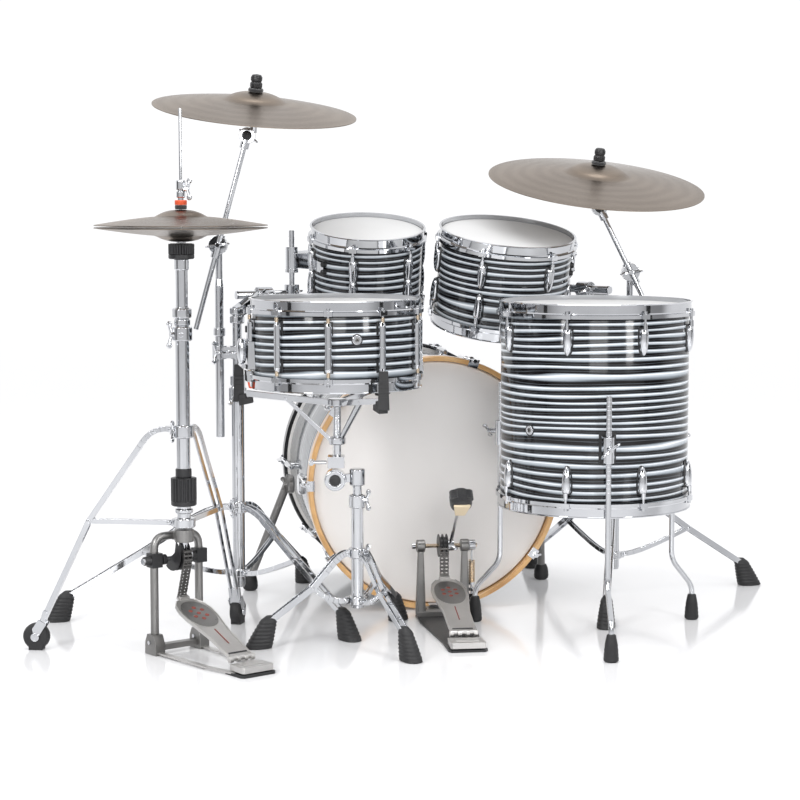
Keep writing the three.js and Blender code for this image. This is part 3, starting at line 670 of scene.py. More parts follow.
def vent(name, body, unit, radius, angle, height):
    """A plain round badge round the air vent. The grommet in its middle is a real eyelet, and its dark colour is
    painted shade for the shaded inside of the vent hole.
    """
    out = Vector(polar(1, angle))
    start = polar(radius - 0.6, angle, height)
    Piece(f"{name}_vent_badge", unit).lathe(
        [(3.2, 0), (10, 0), (10, 1.6), (9, 2.4), (4.6, 2.4), (3.2, 3.4)], start, out, 40,
    ).build(body, "chrome_hardware", bevel=0.2)
    # The grommet's dark colour is painted shade: it stands for the shaded inside of the vent hole.
    Piece(f"{name}_vent_grommet_painted_shade", unit).lathe(
        [(1.6, 0), (4.8, 0), (4.8, 3), (1.6, 3.6)], start, out, 24,
    ).build(body, "brass_fittings", bevel=0.2, material=DARK_STEEL_AND_VENT_SHADE)
    Piece(f"{name}_vent_gasket", unit).lathe(
        [(3.2, 0), (12.2, 0), (12.2, 0.9), (3.2, 1.2)], start, out, 40,
    ).build(body, "black_plastic", bevel=0)


def add_drum(name, body, unit, drum, lug):
    """The shell, both heads and hoops, and the fittings that all drums have."""
    radius, height = drum["radius"], drum["height"]
    foot = -height
    inner = radius - SHELL_WALL
    Piece(f"{name}_shell_wrap", unit).lathe([
        (inner, foot + 12), (radius - 1.5, foot + 12), (radius, foot + 16), (radius, -16),
        (radius - 1.5, -12.4), (inner + 3, -11.4), (inner, -14),
    ]).build(body, "drum_wrap", [f"{name}_shell"], bevel=0)
    Piece(f"{name}_top_hoop_steel", unit).lathe(hoop_profile(radius, 0, 1)).build(
        body, "chrome_hardware", [f"{name}_top_hoop"], bevel=0)
    Piece(f"{name}_lower_hoop_steel", unit).lathe(hoop_profile(radius, foot, -1)).build(
        body, "chrome_hardware", bevel=0)
    Piece(f"{name}_top_film", unit).lathe(head_profile(radius, 0, 1)).build(
        body, "drum_head", [f"{name}_top_head"], bevel=0, material=THIN_FILM)
    Piece(f"{name}_lower_film", unit).lathe(head_profile(radius, foot, -1)).build(
        body, "drum_head", bevel=0)
    fittings = Piece(f"{name}_lugs_and_rods", unit)
    nuts = Piece(f"{name}_swivel_nuts", unit)
    seats = Piece(f"{name}_lug_gaskets", unit)
    tension_ears(fittings, radius, drum["lugs"], 0, 1)
    tension_ears(fittings, radius, drum["lugs"], foot, -1)
    for angle in drum["lugs"]:
        if lug == "bridge":
            bridge_lug(fittings, seats, nuts, radius, angle, -42, foot + 42)
        else:
            for end, way in ((-50, 1), (foot + 50, -1)):
                drop_lug(fittings, seats, radius, angle, end, way)
                out = radius + ROD_OUT
                nuts.rod(polar(out, angle, end - way), polar(out, angle, end + way * 10), 3.8)
        tension_rod(fittings, radius, angle, -HOOP_HEIGHT + 9, -48)
        tension_rod(fittings, radius, angle, foot + HOOP_HEIGHT - 9, foot + 48)
    fittings.build(body, "chrome_hardware", bevel=0.5)
    nuts.build(body, "brass_fittings", bevel=0.3, material=CHAMPAGNE)
    seats.build(body, "black_plastic", bevel=0.4)


def add_snare():
    unit = drum_frame("snare_playing_face", SNARE_YAW)
    body = "snare_drum"
    add_drum("snare", body, unit, SNARE, "bridge")
    vent("snare", body, unit, SNARE["radius"], *SNARE["vent"])
    side = -SNARE["radius"]
    strainer = Piece("snare_strainer", unit)
    strainer.bar((side - 7, 0, -150), (side - 7, 0, -90), 18, 38, 14, 32)
    strainer.bar((side - 12, 0, -152), (side - 12, 0, -176), 12, 30, 8, 34)
    strainer.post(side - 9, 0, -92, -70, 6.5, 5.5)
    strainer.build(body, "chrome_hardware", bevel=1.5)
    Piece("snare_strainer_knob", unit).post(side - 9, 0, -72, -58, 9).build(
        body, "black_plastic", bevel=1.0)
    cords = Piece("snare_wire_cords", unit)
    for shift in (-9, -3, 3, 9):
        line = [(side - 13, shift, -168), (side - 9, shift, -189), (side + 40, shift * 3, -186)]
        cords.pipe(line, 1.3, 8)
    cords.build(body, "red_detail", bevel=0)
    Piece("snare_butt_end", unit).bar((-side + 5, 0, -160), (-side + 5, 0, -118), 14, 36, 10, 28).build(
        body, "chrome_hardware", bevel=1.5)
    wires = Piece("snare_wires", unit)
    for k in range(20):
        y = -30 + 60 * k / 19
        wires.pipe([(-130, y, -183), (130, y, -183)], 0.9, 6)
    for end in (-1, 1):
        wires.block((end * 136, 0, -183), (14, 68, 2))
    wires.build(body, "chrome_hardware", bevel=0)
    lever = Piece("strainer_throw_off", unit)
    lever.rod((side - 25, -22, -142), (side - 25, 22, -142), 5)
    lever.lathe([(0, 0), (7, 1), (10, 8), (11, 24), (10, 40), (7, 52), (0, 58)], (side - 25, 0, -84),
                (0, 0, -1), 40)
    lever.build("strainer_lever", "chrome_hardware", ["snare_strainer_lever"], bevel=1.2)


# Heights of the brackets that the rack toms' arms run up through.
TOM_BRACKET = {"low": 778, "middle": 805, "high": 834}


def add_rack_tom(name, drum, mount, swivel, reach_top):
    body = name
    unit = drum_frame(mount)
    add_drum(name, body, unit, drum, "drop")
    x, y, z = pin(swivel)
    ahead = inside(unit, (x, y, TOM_BRACKET["middle"]))
    angle = math.degrees(math.atan2(ahead[0], -ahead[1]))
    radius = drum["radius"]
    away = math.hypot(ahead[0], ahead[1])
    low, high = (inside(unit, (x, y, TOM_BRACKET[end])) for end in ("low", "high"))
    bracket = Piece(f"{name}_arm_bracket", unit)
    bracket.rod(low, high, 14)
    foot = TOM_BRACKET["low"]
    bracket.rod(inside(unit, (x, y, foot - 3)), inside(unit, (x, y, foot + 6)), 15)
    bracket.bar(polar(radius + 1, angle, ahead[2]), polar(away, angle, ahead[2]), 26, 40, 20, 34)
    side = Vector((math.cos(math.radians(angle)), math.sin(math.radians(angle)), 0))
    screw = Vector(polar(away, angle, ahead[2]))
    bracket.rod(screw, screw - side * 30, 4.2, facets=SMALL)
    bracket.wing(screw - side * 26, -side, 38, 6)
    bracket.build(body, "chrome_hardware", bevel=1.2)
    strap = Piece(f"{name}_suspension_strap", unit)
    for step in range(-7, 7):
        a, b = angle + step * 5.2, angle + (step + 1) * 5.2
        strap.bar(polar(radius + 4.5, a, ahead[2]), polar(radius + 4.5, b, ahead[2]), 3, 24)
    strap.build(body, "chrome_hardware", bevel=0.4)
    grommets = Piece(f"{name}_strap_grommets", unit)
    for offset in (-36, 36):
        for height in (-9, 9):
            centre = polar(radius - 1, angle + offset, ahead[2] + height)
            grommets.rod(centre, polar(radius + 9, angle + offset, ahead[2] + height), 7, 6)
    grommets.build(body, "rubber", bevel=1.0)

    arm = Piece(f"{name}_arm_steel")
    low_end, hub = arm_line(name)
    arm.rod(low_end, hub, 9.5)
    arm.post(x, y, z - 16, z + 22, 17)
    arm.post(x, y, z + 10, reach_top, 6.3)
    for k in range(16):
        arm.post(x, y, z + 40 + k * 6, z + 43 + k * 6, 6.3, 6.0)
    out = (Vector(hub) - Vector(low_end)).normalized()
    arm.rod(Vector(low_end) - out * 0.2, Vector(low_end) + out * 5, 9.5)
    arm.wing((x, y, z + 4), (0.3, -0.95, 0), 34, 6, (1, 0, 0.2))
    arm.build(f"{name}_arm", "chrome_hardware", [f"{name}_arm"], bevel=0.8)


def arm_line(name):
    """A tom arm's far end and its elbow, from its tilt joint and its CAD box."""
    elbow = Vector(pin(f"{name}_swivel"))
    low, high = (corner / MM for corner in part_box(f"{name}_arm"))
    along = axis_of(f"{name}_tilt")
    far = low.x if along.x > 0 else high.x
    reach = (far - elbow.x) / along.x
    return tuple(elbow + along * (reach + 4)), tuple(elbow)


# The floor tom's legs: their circle at the shell and at the feet, and the bracket's place below
# the leg's top.
FLOOR_LEG = {"circle": 222, "foot_circle": 283, "radius": 6, "top": 541, "grip": 108}
FLOOR_LEG_ANGLES = (2.7, 122.7, -117.3)


def add_floor_tom():
    unit = drum_frame("floor_tom_playing_face")
    add_drum("floor_tom", "kit_base", unit, FLOOR_TOM, "drop")
    vent("floor_tom", "kit_base", unit, FLOOR_TOM["radius"], *FLOOR_TOM["vent"])
    floor = -(unit.translation.z)
    top = floor + FLOOR_LEG["top"]
    for number, angle in enumerate(FLOOR_LEG_ANGLES, 1):
        body = f"floor_leg_{number}"
        near, far = FLOOR_LEG["circle"], FLOOR_LEG["foot_circle"]
        line = bow(polar(near, angle, floor + 165), polar(near, angle, floor + 145),
                   polar(near + 12, angle, floor + 130), 5)
        line = [polar(near, angle, top)] + line
        line += bow(polar(far - 12, angle, floor + 90), polar(far, angle, floor + 76),
                    polar(far, angle, floor + 60), 5)
        line.append(polar(far, angle, floor + 30))
        leg = Piece(f"floor_tom_leg_rod_{number}", unit)
        leg.pipe(line, FLOOR_LEG["radius"])
        for k in range(22):
            height = top - 10 - k * 9
            leg.rod(polar(near, angle, height), polar(near, angle, height - 4), 6.1, 5.7, SMALL)
        leg.build(body, "chrome_hardware", [f"floor_tom_leg_{number}"], bevel=0.3)
        boot = Piece(f"floor_tom_leg_boot_{number}", unit)
        boot.lathe([
            (0, 0), (12, 0), (15.5, 3), (16, 8), (15, 13), (15.6, 15), (14.4, 22), (15, 24), (13.4, 32),
            (13.8, 34), (12, 44), (9.5, 56), (7, 58), (0, 58),
        ], polar(far, angle, floor), facets=40)
        boot.build(body, "rubber", bevel=0)
        bracket = Piece(f"floor_tom_leg_bracket_{number}", unit)
        grip = top - FLOOR_LEG["grip"]
        bracket.rod(polar(near, angle, grip - 30), polar(near, angle, grip + 24), 12)
        bracket.bar(polar(201, angle, grip), polar(near, angle, grip), 30, 54, 22, 46)
        gasket = Piece(f"floor_tom_leg_gasket_{number}", unit)
        gasket.bar(polar(199, angle, grip), polar(204, angle, grip), 38, 68, 34, 64)
        gasket.build("kit_base", "black_plastic", bevel=1.5)
        out = Vector(polar(1, angle))
        side = Vector((0, 0, 1)).cross(out)
        middle_point = Vector(polar(near, angle, grip))
        bracket.rod(middle_point + out * 10, middle_point + out * 26, 6)
        bracket.wing(middle_point + out * 20, out, 36, 6.5, (side + Vector((0, 0, 0.8))))
        bracket.build("kit_base", "chrome_hardware", bevel=1.2)


# ------------------------------------------------------------ bass drum

BASS = {
    "radius": 278.5, "hoop": 293.5, "thickness": 11.5, "width": 34, "length": 501, "head": 17,
    "claws": [18 + 36 * k for k in range(10)],
}


def bass_frames():
    """The floor frame of the drum, and the same frame laid down so that +Z is the drum's axis."""
    point, normal = face("bass_playing_face")
    yaw = math.degrees(math.atan2(normal.x, -normal.y))
    foot = point + normal * BASS["head"]
    base = turned((foot.x, foot.y, 0), yaw=yaw)
    laid = base @ Matrix.Translation((0, 0, BASS["hoop"])) @ Matrix.Rotation(math.radians(-90), 4, "X")
    return base, laid


def add_bass_drum():
    base, laid = bass_frames()
    body = "kit_base"
    radius, length, width = BASS["radius"], BASS["length"], BASS["width"]
    inner = radius - SHELL_WALL
    near, far = BASS["head"] + 2, length - BASS["head"]
    Piece("bass_shell_wrap", laid).lathe([
        (inner, near + 2), (inner + 3, near), (radius - 1, near), (radius, near + 4),
        (radius, far - 6), (radius - 1, far - 2), (inner, far - 2),
    ], facets=BASS_FACETS).build(body, "drum_wrap", ["bass_shell"], bevel=0)
    hoop_inner = BASS["hoop"] - BASS["thickness"]
    for name, low, material in (("batter", 0, None), ("front", length - width, BLACK_WOOD)):
        Piece(f"bass_{name}_hoop_wood", laid).lathe([
            (hoop_inner, low + 1.5), (hoop_inner + 1.5, low), (BASS["hoop"] - 2.5, low),
            (BASS["hoop"], low + 2.5), (BASS["hoop"], low + width - 2.5),
            (BASS["hoop"] - 2.5, low + width),
            (hoop_inner + 1.5, low + width), (hoop_inner, low + width - 1.5),
        ], facets=BASS_FACETS).build(body, "hoop_wood", [f"bass_{name}_hoop"], bevel=0, material=material)
    for name, edge, up in (("batter", 0, 1), ("front", length, -1)):
        line = [
            (0, 18), (radius, 18), (radius, 40), (radius + 6.5, 40), (radius + 6.5, 35),
            (radius + 1.3, 35), (radius + 1.3, 19), (radius - 0.8, 17), (0, 17),
        ]
        profile = [(r, edge + up * h) for r, h in line]
        replaced = ["bass_batter_head"] if up > 0 else []
        Piece(f"bass_{name}_film", laid).lathe(profile, facets=BASS_FACETS).build(
            body, "drum_head", replaced, bevel=0)
    add_bass_claws(laid, body)
    add_spurs(base)


def add_bass_claws(laid, body):
    outer, length = BASS["hoop"], BASS["length"]
    claws = Piece("bass_claws_and_rods", laid)
    pads = Piece("bass_claw_gaskets", laid)
    for angle in BASS["claws"]:
        turn = Matrix.Rotation(math.radians(angle), 4, "Z")
        for edge, way in ((0, 1), (length, -1)):
            def at(radius, along, side=0.0):
                return turn @ Vector((side, radius, edge + way * along))
            claws.bar(at(outer + 1.6, 1), at(outer + 1.6, 42), 26, 4)
            claws.bar(at(outer - 15, 1.6), at(outer + 3, 1.6), 24, 4)
            claws.bar(at(outer - 4, 0), at(outer + 4, 0), 12, 9)
            claws.rod(at(outer + 1, 2), at(outer + 1, -9), 5.4)
            claws.rod(at(outer + 1, 34), at(outer + 1, 50), 8)
            claws.rod(at(outer + 1, 4), at(outer + 1, 150), 3)
            claws.rod(at(outer + 1, 4), at(outer + 1, 30), 5.5, 4.5)
            claws.rod(at(outer - 3, 92), at(outer - 3, 165), 8.5, 5.5)
            claws.rod(at(BASS["radius"] - 1, 130), at(outer - 3, 130), 8)
            pads.bar(at(outer - 12, 3.6), at(outer - 1, 3.6), 20, 1.2)
    claws.build(body, "chrome_hardware", bevel=0.8)
    pads.build(body, "rubber", bevel=0)


def add_spurs(base):
    for name, side in (("left", -1), ("right", 1)):
        body = f"spur_{name}"
        hinge = Vector(inside(base, pin(f"bass_spur_{name}_fold")))
        foot = Vector(inside(base, (*foot_of(f"bass_spur_{name}"), 0)))
        start = hinge + Vector((side * 8, 0, 20))
        tube = Piece(f"bass_spur_{name}_tube", base)
        tube.rod(start, (foot.x, foot.y, 30), 9.5)
        tube.lathe([(0, 0), (20, 0), (22, 3), (22, 12), (18, 16), (0, 16)], hinge, (side, 0, 0), 48)
        tube.wing(hinge + Vector((side * 13, 0, 0)), (side, 0, 0), 26, 6, (0, 0.5, 1))
        tube.build(body, "pewter_casting", [f"bass_spur_{name}"], bevel=0.8)
        boot = Piece(f"bass_spur_{name}_boot", base)
        boot.lathe([
            (0, 0), (12, 0), (17, 4), (18.5, 12), (17.6, 16), (18, 19), (16, 30), (12.5, 38), (0, 40),
        ], foot, facets=40)
        boot.build(body, "rubber", bevel=0)
        bracket = Piece(f"bass_spur_{name}_bracket", base)
        x = side * (BASS["radius"] - 4)
        bracket.lathe([(0, 0), (26, 0), (26, 8), (22, 12), (0, 12)],
                      (x, hinge.y, hinge.z), (side, 0, 0), 48)
        bracket.build("kit_base", "chrome_hardware", bevel=1.0)


# ------------------------------------------------------------ pedals


def pedal_frame(joint, hinge):
    """A pedal's floor frame, from its footboard's hinge."""
    axis = axis_of(joint)
    yaw = math.degrees(math.atan2(-axis.y, -axis.x))
    place = Vector(pin(joint)) - Matrix.Rotation(math.radians(yaw), 3, "Z") @ Vector(hinge)
    return turned(place, yaw=yaw)


def board_frame(unit, hinge, toe):
    """The footboard's own frame: +Y runs up the board from its hinge, +Z off its tread."""
    slope = math.atan2(toe[1] - hinge[1], toe[0] - hinge[0])
    return unit @ Matrix.Translation((0, *hinge)) @ Matrix.Rotation(slope, 4, "X")


def oval(half_wide, low, high, power, steps=40):
    """A squared oval between low and high along Y."""
    points = []
    for i in range(steps):
        angle = 2 * math.pi * i / steps
        c, s = math.cos(angle), math.sin(angle)
        x = half_wide * math.copysign(abs(c) ** (2 / power), c)
        y = (low + high) / 2 + (high - low) / 2 * math.copysign(abs(s) ** (2 / power), s)
        points.append((x, y))
    return points


def add_footboard(name, body, node, unit, hinge, toe):
    board = board_frame(unit, hinge, toe)
    length = math.hypot(toe[0] - hinge[0], toe[1] - hinge[1])
    tread = Piece(f"{name}_tread", board)
    right = [
        (28, 6), (29, 26), (30, length * 0.36), (35, length * 0.52), (40, length * 0.66),
        (40, length * 0.78), (35, length * 0.88), (24, length * 0.95), (13, length * 0.97),
        (12, length + 6),
    ]
    left = [(-x, y) for x, y in reversed(right)]
    tread.plate(right + left, -2.6, 2.2, "Z")
    tread.rod((-31, 0, 0), (31, 0, 0), 4.6)
    for x in (-20, 0, 20):
        tread.rod((x - 7, 0, 0), (x + 7, 0, 0), 5.6)
    for side in (-1, 1):
        edge = [(side * (x - 2.2), y, 2.6) for x, y in right[:-2]]
        tread.pipe(edge, 1.6, 8)
    tread.block((0, length - 2, 4.5), (22, 14, 6))
    tread.build(body, "pewter_casting", [node], bevel=0.8, material=BRIGHT_CASTING)
    inset = Piece(f"{name}_tread_inset", board)
    inset.plate(oval(34, length * 0.50, length * 0.92, 2.2), 2.0, 3.2, "Z")
    for x in (-23, 23):
        for share in (0.59, 0.83):
            inset.post(x, length * share, 3, 3.9, 2.4)
    inset.build(body, "pewter_casting", bevel=0.3)
    Piece(f"{name}_tread_slot", board).block((0, 15, 2.4), (44, 4, 1.2)).build(
        body, "black_plastic", bevel=0)
    dots = Piece(f"{name}_grip_dots", board)
    centre = length * 0.72
    for k in range(7):
        reach = 0 if k == 0 else 16
        x = reach * math.cos(math.radians(30 + 60 * k))
        y = centre + reach * 1.3 * math.sin(math.radians(30 + 60 * k))
        dots.lathe([(0, 0), (4.6, 0), (4.6, 0.8), (3.6, 1.3), (0, 1.3)], (x, y, 2.8), facets=24)
    dots.block((0, length * 0.33, 2.4), (2.2, length * 0.24, 1.4))
    dots.build(body, "red_detail", bevel=0, material=DULL_RED)


def heel(piece, end, hinge_along):
    """The heel plate from its back edge to the hinge, its hinge knuckles and its raised pad."""
    middle_point = (end + hinge_along) / 2 - 6
    long = hinge_along - end - 12
    piece.plate([
        (-38, end + 4), (-34, end), (34, end), (38, end + 4), (36, end + long), (-36, end + long),
    ], 8, 20.5, "Z")
    for x in (-26, -8.7, 8.7, 26):
        piece.rod((x - 4, hinge_along, 26), (x + 4, hinge_along, 26), 7)
    piece.block((0, middle_point + 3, 21), (50, long * 0.5, 1.6))


def roller_chain(piece, start, end, pitch=8):
    """Rollers with a pair of side plates at each, narrow and wide in turn."""
    a, b = Vector(start), Vector(end)
    count = max(2, int((b - a).length / pitch))
    along = (b - a).normalized()
    for k in range(count):
        centre = a.lerp(b, (k + 0.5) / count)
        piece.rod(centre - Vector((5, 0, 0)), centre + Vector((5, 0, 0)), 2.6, facets=SMALL)
        wide = 4.6 if k % 2 else 3.0
        for side in (-1, 1):
            offset = Vector((side * wide, 0, 0))
            reach = along * pitch * 0.62
            piece.bar(centre + offset - reach, centre + offset + reach, 1.2, 5.4)


BASS_PEDAL = {
    "hinge": (-385, 28), "toe": (-115, 95), "heel": -455, "posts": -85, "shaft": 165, "half": 50,
}
BEATER = {"length": 195, "back": 50, "shift": 17}


def add_bass_pedal():
    spec = BASS_PEDAL
    unit = pedal_frame("bass_pedal_press", (0, *spec["hinge"]))
    base = Piece("bass_pedal_base_plate", unit)
    base.plate([
        (-36, spec["heel"]), (36, spec["heel"]), (42, spec["heel"] + 10), (42, spec["heel"] + 90),
        (60, spec["posts"] - 60), (60, spec["posts"] + 14), (30, -8), (-30, -8),
        (-60, spec["posts"] + 14), (-60, spec["posts"] - 60), (-42, spec["heel"] + 90),
        (-42, spec["heel"] + 10),
    ], 0, 5, "Z")
    base.build("kit_base", "black_plastic", bevel=0.8)
    castings = Piece("bass_pedal_castings", unit)
    rest = Piece("bass_pedal_heel_plate", unit)
    heel(rest, spec["heel"], spec["hinge"][0])
    rest.build("kit_base", "pewter_casting", bevel=1.4, material=BRIGHT_CASTING)
    for side in (-1, 1):
        x, y, top = side * spec["half"], spec["posts"], spec["shaft"]
        castings.plate([
            (y - 12, 5), (y + 14, 5), (y + 12, 26), (y + 8, 46), (y + 7, top - 12), (y - 7, top - 12),
            (y - 8, 46), (y - 11, 26),
        ], x - 6.5, x + 6.5, "X")
        castings.bar((x, y, 8), (x, y, top - 10), 23, 16, 13, 10)
        castings.rod((x - 9, y, top), (x + 9, y, top), 14, facets=48)
        castings.rod((x - 10.5, y, top), (x + 10.5, y, top), 9)
    castings.block((0, spec["posts"], 10), (116, 26, 12))
    castings.block((0, spec["posts"] + 45, 9), (58, 52, 8))
    castings.build("kit_base", "pewter_casting", ["bass_pedal_frame"], bevel=1.4)
    clamp = Piece("bass_pedal_hoop_clamp", unit)
    clamp.block((0, -24, 17), (46, 26, 6))
    clamp.rod((30, spec["posts"] + 30, 12), (58, spec["posts"] + 16, 24), 3.2)
    clamp.wing((50, spec["posts"] + 20, 21), (0.9, -0.4, 0.4), 26, 5, (0, 0, 1))
    clamp.build("kit_base", "chrome_hardware", bevel=0.8)
    spring = Piece("bass_pedal_spring", unit)
    x, y = spec["half"] + 17, spec["posts"]
    spring.pipe(helix((x, y, 130), (x, y, 80), 6.2, 14), 1.5, 8)
    spring.build("kit_base", "brass_fittings", bevel=0, material=CHAMPAGNE)
    tie = Piece("bass_pedal_spring_rod", unit)
    tie.post(x, y, 82, 26, 2.6)
    for low, high, radius in ((74, 81, 7), (60, 67, 7.5), (40, 46, 8)):
        tie.post(x, y, low, high, radius, facets=6)
    tie.post(x, y, 128, 156, 2.2)
    tie.bar((x - 20, y, 50), (x + 8, y, 50), 12, 8)
    tie.build("kit_base", "chrome_hardware", bevel=0.4)
    Piece("bass_pedal_spring_knob", unit).post(x, spec["posts"], 26, 36, 9, 8).build(
        "kit_base", "black_plastic", bevel=0.8)
    add_footboard("bass_pedal", "bass_footboard", "bass_pedal_footboard", unit, spec["hinge"], spec["toe"])
    chain = Piece("bass_pedal_chain", unit)
    for side in (-5, 5):
        roller_chain(chain, (side, spec["posts"] - 26, spec["shaft"]), (side, spec["toe"][0] + 4, 99))
    chain.build("bass_footboard", "pewter_casting", bevel=0, material=DARK_STEEL_AND_VENT_SHADE)

    lean = math.radians(BEATER["back"])
    up = Vector((0, -math.sin(lean), math.cos(lean)))
    ahead = Vector((0, math.cos(lean), math.sin(lean)))
    shaft = Vector((0, spec["posts"], spec["shaft"]))
    drive = Piece("bass_pedal_beater_drive", unit)
    axle = Piece("bass_pedal_axle", unit)
    axle.rod(shaft - Vector((70, 0, 0)), shaft + Vector((78, 0, 0)), 5, facets=6)
    axle.build("bass_beater", "brass_fittings", bevel=0.3, material=CHAMPAGNE)
    drive.rod(shaft + Vector((9, 0, 0)), shaft + Vector((25, 0, 0)), 13)
    drive.rod(shaft + Vector((60, 0, 0)), shaft + Vector((74, 0, 0)), 12)
    drive.rod(shaft - Vector((70, 0, 0)), shaft - Vector((62, 0, 0)), 7)
    shift = Vector((BEATER["shift"], 0, 0))
    drive.rod(shaft + shift - up * 16, shaft + shift + up * BEATER["length"], 3.6)
    drive.wing(shaft + shift + up * 4, (0, -0.8, -0.6), 20, 4, (1, 0, 0))
    drive.build("bass_beater", "chrome_hardware", ["bass_pedal_beater"], bevel=0.5)
    cam = Piece("bass_pedal_cam", unit)
    for x in (-9, 0, 9):
        cam.rod(shaft + Vector((x - 0.9, 0, 0)), shaft + Vector((x + 0.9, 0, 0)), 26, facets=48)
    cam.rod(shaft - Vector((9, 0, 0)), shaft + Vector((9, 0, 0)), 19)
    cam.build("bass_beater", "black_plastic", bevel=0.4)
    head = shaft + shift + up * BEATER["length"]
    core = Piece("bass_beater_core", unit)
    core.rod(head - up * 27, head - up * 8, 13, 18)
    core.bar(head - ahead * 20 - up * 29, head - ahead * 22 + up * 12, 22, 7, 38, 6)
    core.build("bass_beater", "drum_head", bevel=2.0, material=CREAM)
    wool = Piece("bass_beater_felt", unit)
    wool.lathe([(0, 0), (16, 0), (22, 3), (24.5, 9), (24.5, 30), (23, 36), (18, 40), (0, 42)],
               head - ahead * 20, ahead, 48)
    for side in (-1, 1):
        wool.rod(head - ahead * 8 + Vector((side * 15, 0, 0)) + up * 14,
                 head + ahead * 12 + Vector((side * 15, 0, 0)) + up * 14, 11)
    wool.build("bass_beater", "felt", bevel=0)


HIHAT_PEDAL = {"hinge": (-238, 28), "toe": (-22, 115), "heel": -300, "half": 55, "arch": 256, "axle": 199}


def add_hihat_pedal():
    spec = HIHAT_PEDAL
    unit = pedal_frame("hihat_pedal_press", (0, *spec["hinge"]))
    half, arch, axle = spec["half"], spec["arch"], spec["axle"]
    x, y, _ = middle("hihat_pull_rod")
    tube = Vector(inside(unit, (x, y, arch - 10)))
    top = arch - 9
    arch_line = [(-half, 0, 10), (-half, 0, top - 34)]
    arch_line += bow((-half, 0, top - 30), (-half, 0, top), (-half + 26, 0, top))[1:]
    arch_line += bow((half - 26, 0, top), (half, 0, top), (half, 0, top - 30))
    arch_line += [(half, 0, 10)]
    castings = Piece("hihat_pedal_castings", unit)
    castings.pipe(arch_line, 8.6, 24)
    castings.post(tube.x, tube.y, 236, 262, 20)
    castings.bar((tube.x * 0.5, 0, arch - 10), tube, 26, 16)
    castings.block((0, 0, 14), (2 * half, 20, 12))
    rest = Piece("hihat_pedal_heel_plate", unit)
    heel(rest, spec["heel"], spec["hinge"][0])
    for side in (-1, 1):
        rest.bar((side * half, -14, 5), (side * 50, spec["heel"] * 0.62, 5), 13, 4)
        rest.bar((side * 50, spec["heel"] * 0.62, 5), (side * 34, spec["heel"] + 30, 5), 13, 4)
    rest.build("kit_base", "pewter_casting", bevel=1.2, material=BRIGHT_CASTING)
    sole = Piece("hihat_pedal_heel_sole", unit)
    low, high = spec["heel"] - 3, spec["heel"] + 58
    sole.plate([(-42, low + 6), (-36, low), (36, low), (42, low + 6), (42, high), (-42, high)], 0, 6, "Z")
    sole.build("kit_base", "rubber", bevel=0.8)
    steel = Piece("hihat_pedal_cross_pins", unit)
    for side in (-1, 1):
        castings.plate([(-21, 0), (21, 0), (20, 26), (12, 43), (-12, 43), (-20, 26)],
                       side * half - 12, side * half + 12, "X")
        castings.post(side * half, 0, 186, 212, 12.5)
        steel.rod((side * (half - 16), 0, 26), (side * (half + 16), 0, 26), 4.2)
    castings.build("kit_base", "pewter_casting", ["hihat_pedal_frame"], bevel=1.2)
    steel.build("kit_base", "chrome_hardware", bevel=0)
    fittings = Piece("hihat_pedal_bearings", unit)
    for side in (-1, 1):
        fittings.block((side * half, -2, axle), (25, 25, 30))
        fittings.rod((side * (half - 14), -6, axle), (side * (half - 24), -6, axle), 11)
    fittings.rod((-half - 12, -2, axle), (-half - 26, -2, axle), 11, 9)
    cam_line = [(-6 + 34 * math.cos(math.radians(a)), 208 + 34 * math.sin(math.radians(a)))
                for a in range(-130, 61, 10)]
    cam_line += [(6, 214), (-14, 200)]
    for x in (-13, -4.5, 4.5, 13):
        fittings.plate([(-18 - y, z) for y, z in cam_line], x - 1.2 - 6, x + 1.2 - 6, "X")
    fittings.build("kit_base", "black_plastic", bevel=0.8)
    shaft = Piece("hihat_pedal_shaft", unit)
    shaft.rod((-half - 30, -4, axle), (half + 8, -4, axle), 5.5)
    shaft.rod((-half - 31, -4, axle), (-half - 26, -4, axle), 7, facets=6)
    shaft.build("kit_base", "chrome_hardware", bevel=0.4)
    add_footboard("hihat_pedal", "hihat_footboard", "hihat_footboard", unit, spec["hinge"], spec["toe"])
    chain = Piece("hihat_pedal_chain", unit)
    for side in (-11, -1):
        roller_chain(chain, (side, tube.y - 21, 222), (side, tube.y - 24, 196), 7)
        roller_chain(chain, (side, tube.y - 23, 200), (side + 5, spec["toe"][0] + 2, 118), 7)
    chain.build("hihat_footboard", "pewter_casting", bevel=0, material=DARK_STEEL_AND_VENT_SHADE)
    yoke = Piece("hihat_pull_yoke", unit)
    yoke.post(tube.x, tube.y, 204, 238, 8)
    yoke.block((tube.x + 6, tube.y, 208), (22, 14, 10))
    yoke.build("hihat_rod", "chrome_hardware", bevel=0.8)


# ------------------------------------------------------------ stands

# Radii of the double stands' tubes, boom and tilter drums; the drums' thickness; the lower tube's
# span; and the collars, each with its bottom, top and radius.
STAND = {
    "tube": 14.3, "upper": 11, "post": 9.8, "boom": 6, "drum": 21, "thick": 17, "span": (66, 522),
    "bands": ((86, 104, 20), (233, 259, 21), (486, 520, 20)),
}
SNARE_STAND = {
    "tube": 13, "span": (74, 318), "bands": ((80, 100, 19), (182, 204, 19), (290, 318, 18)),
}
HIHAT_STAND = {
    "tube": 14.3, "span": (266, 724), "ears": (467, 276), "grip": (312, 372),
    "bands": (
        (266, 286, 24), (296, 306, 19), (454, 480, 22), (655, 684, 21), (686, 700, 17), (702, 722, 20),
    ),
}
BOOM_TEETH = 24
LEG = {"high": 247, "low": 97, "knee": (78, 232), "share": 0.54, "joint": 150, "start": 24}
SNARE_LEG = {"high": 193, "low": 91, "knee": (38, 188), "share": 0.47, "joint": 122, "start": 22.5}


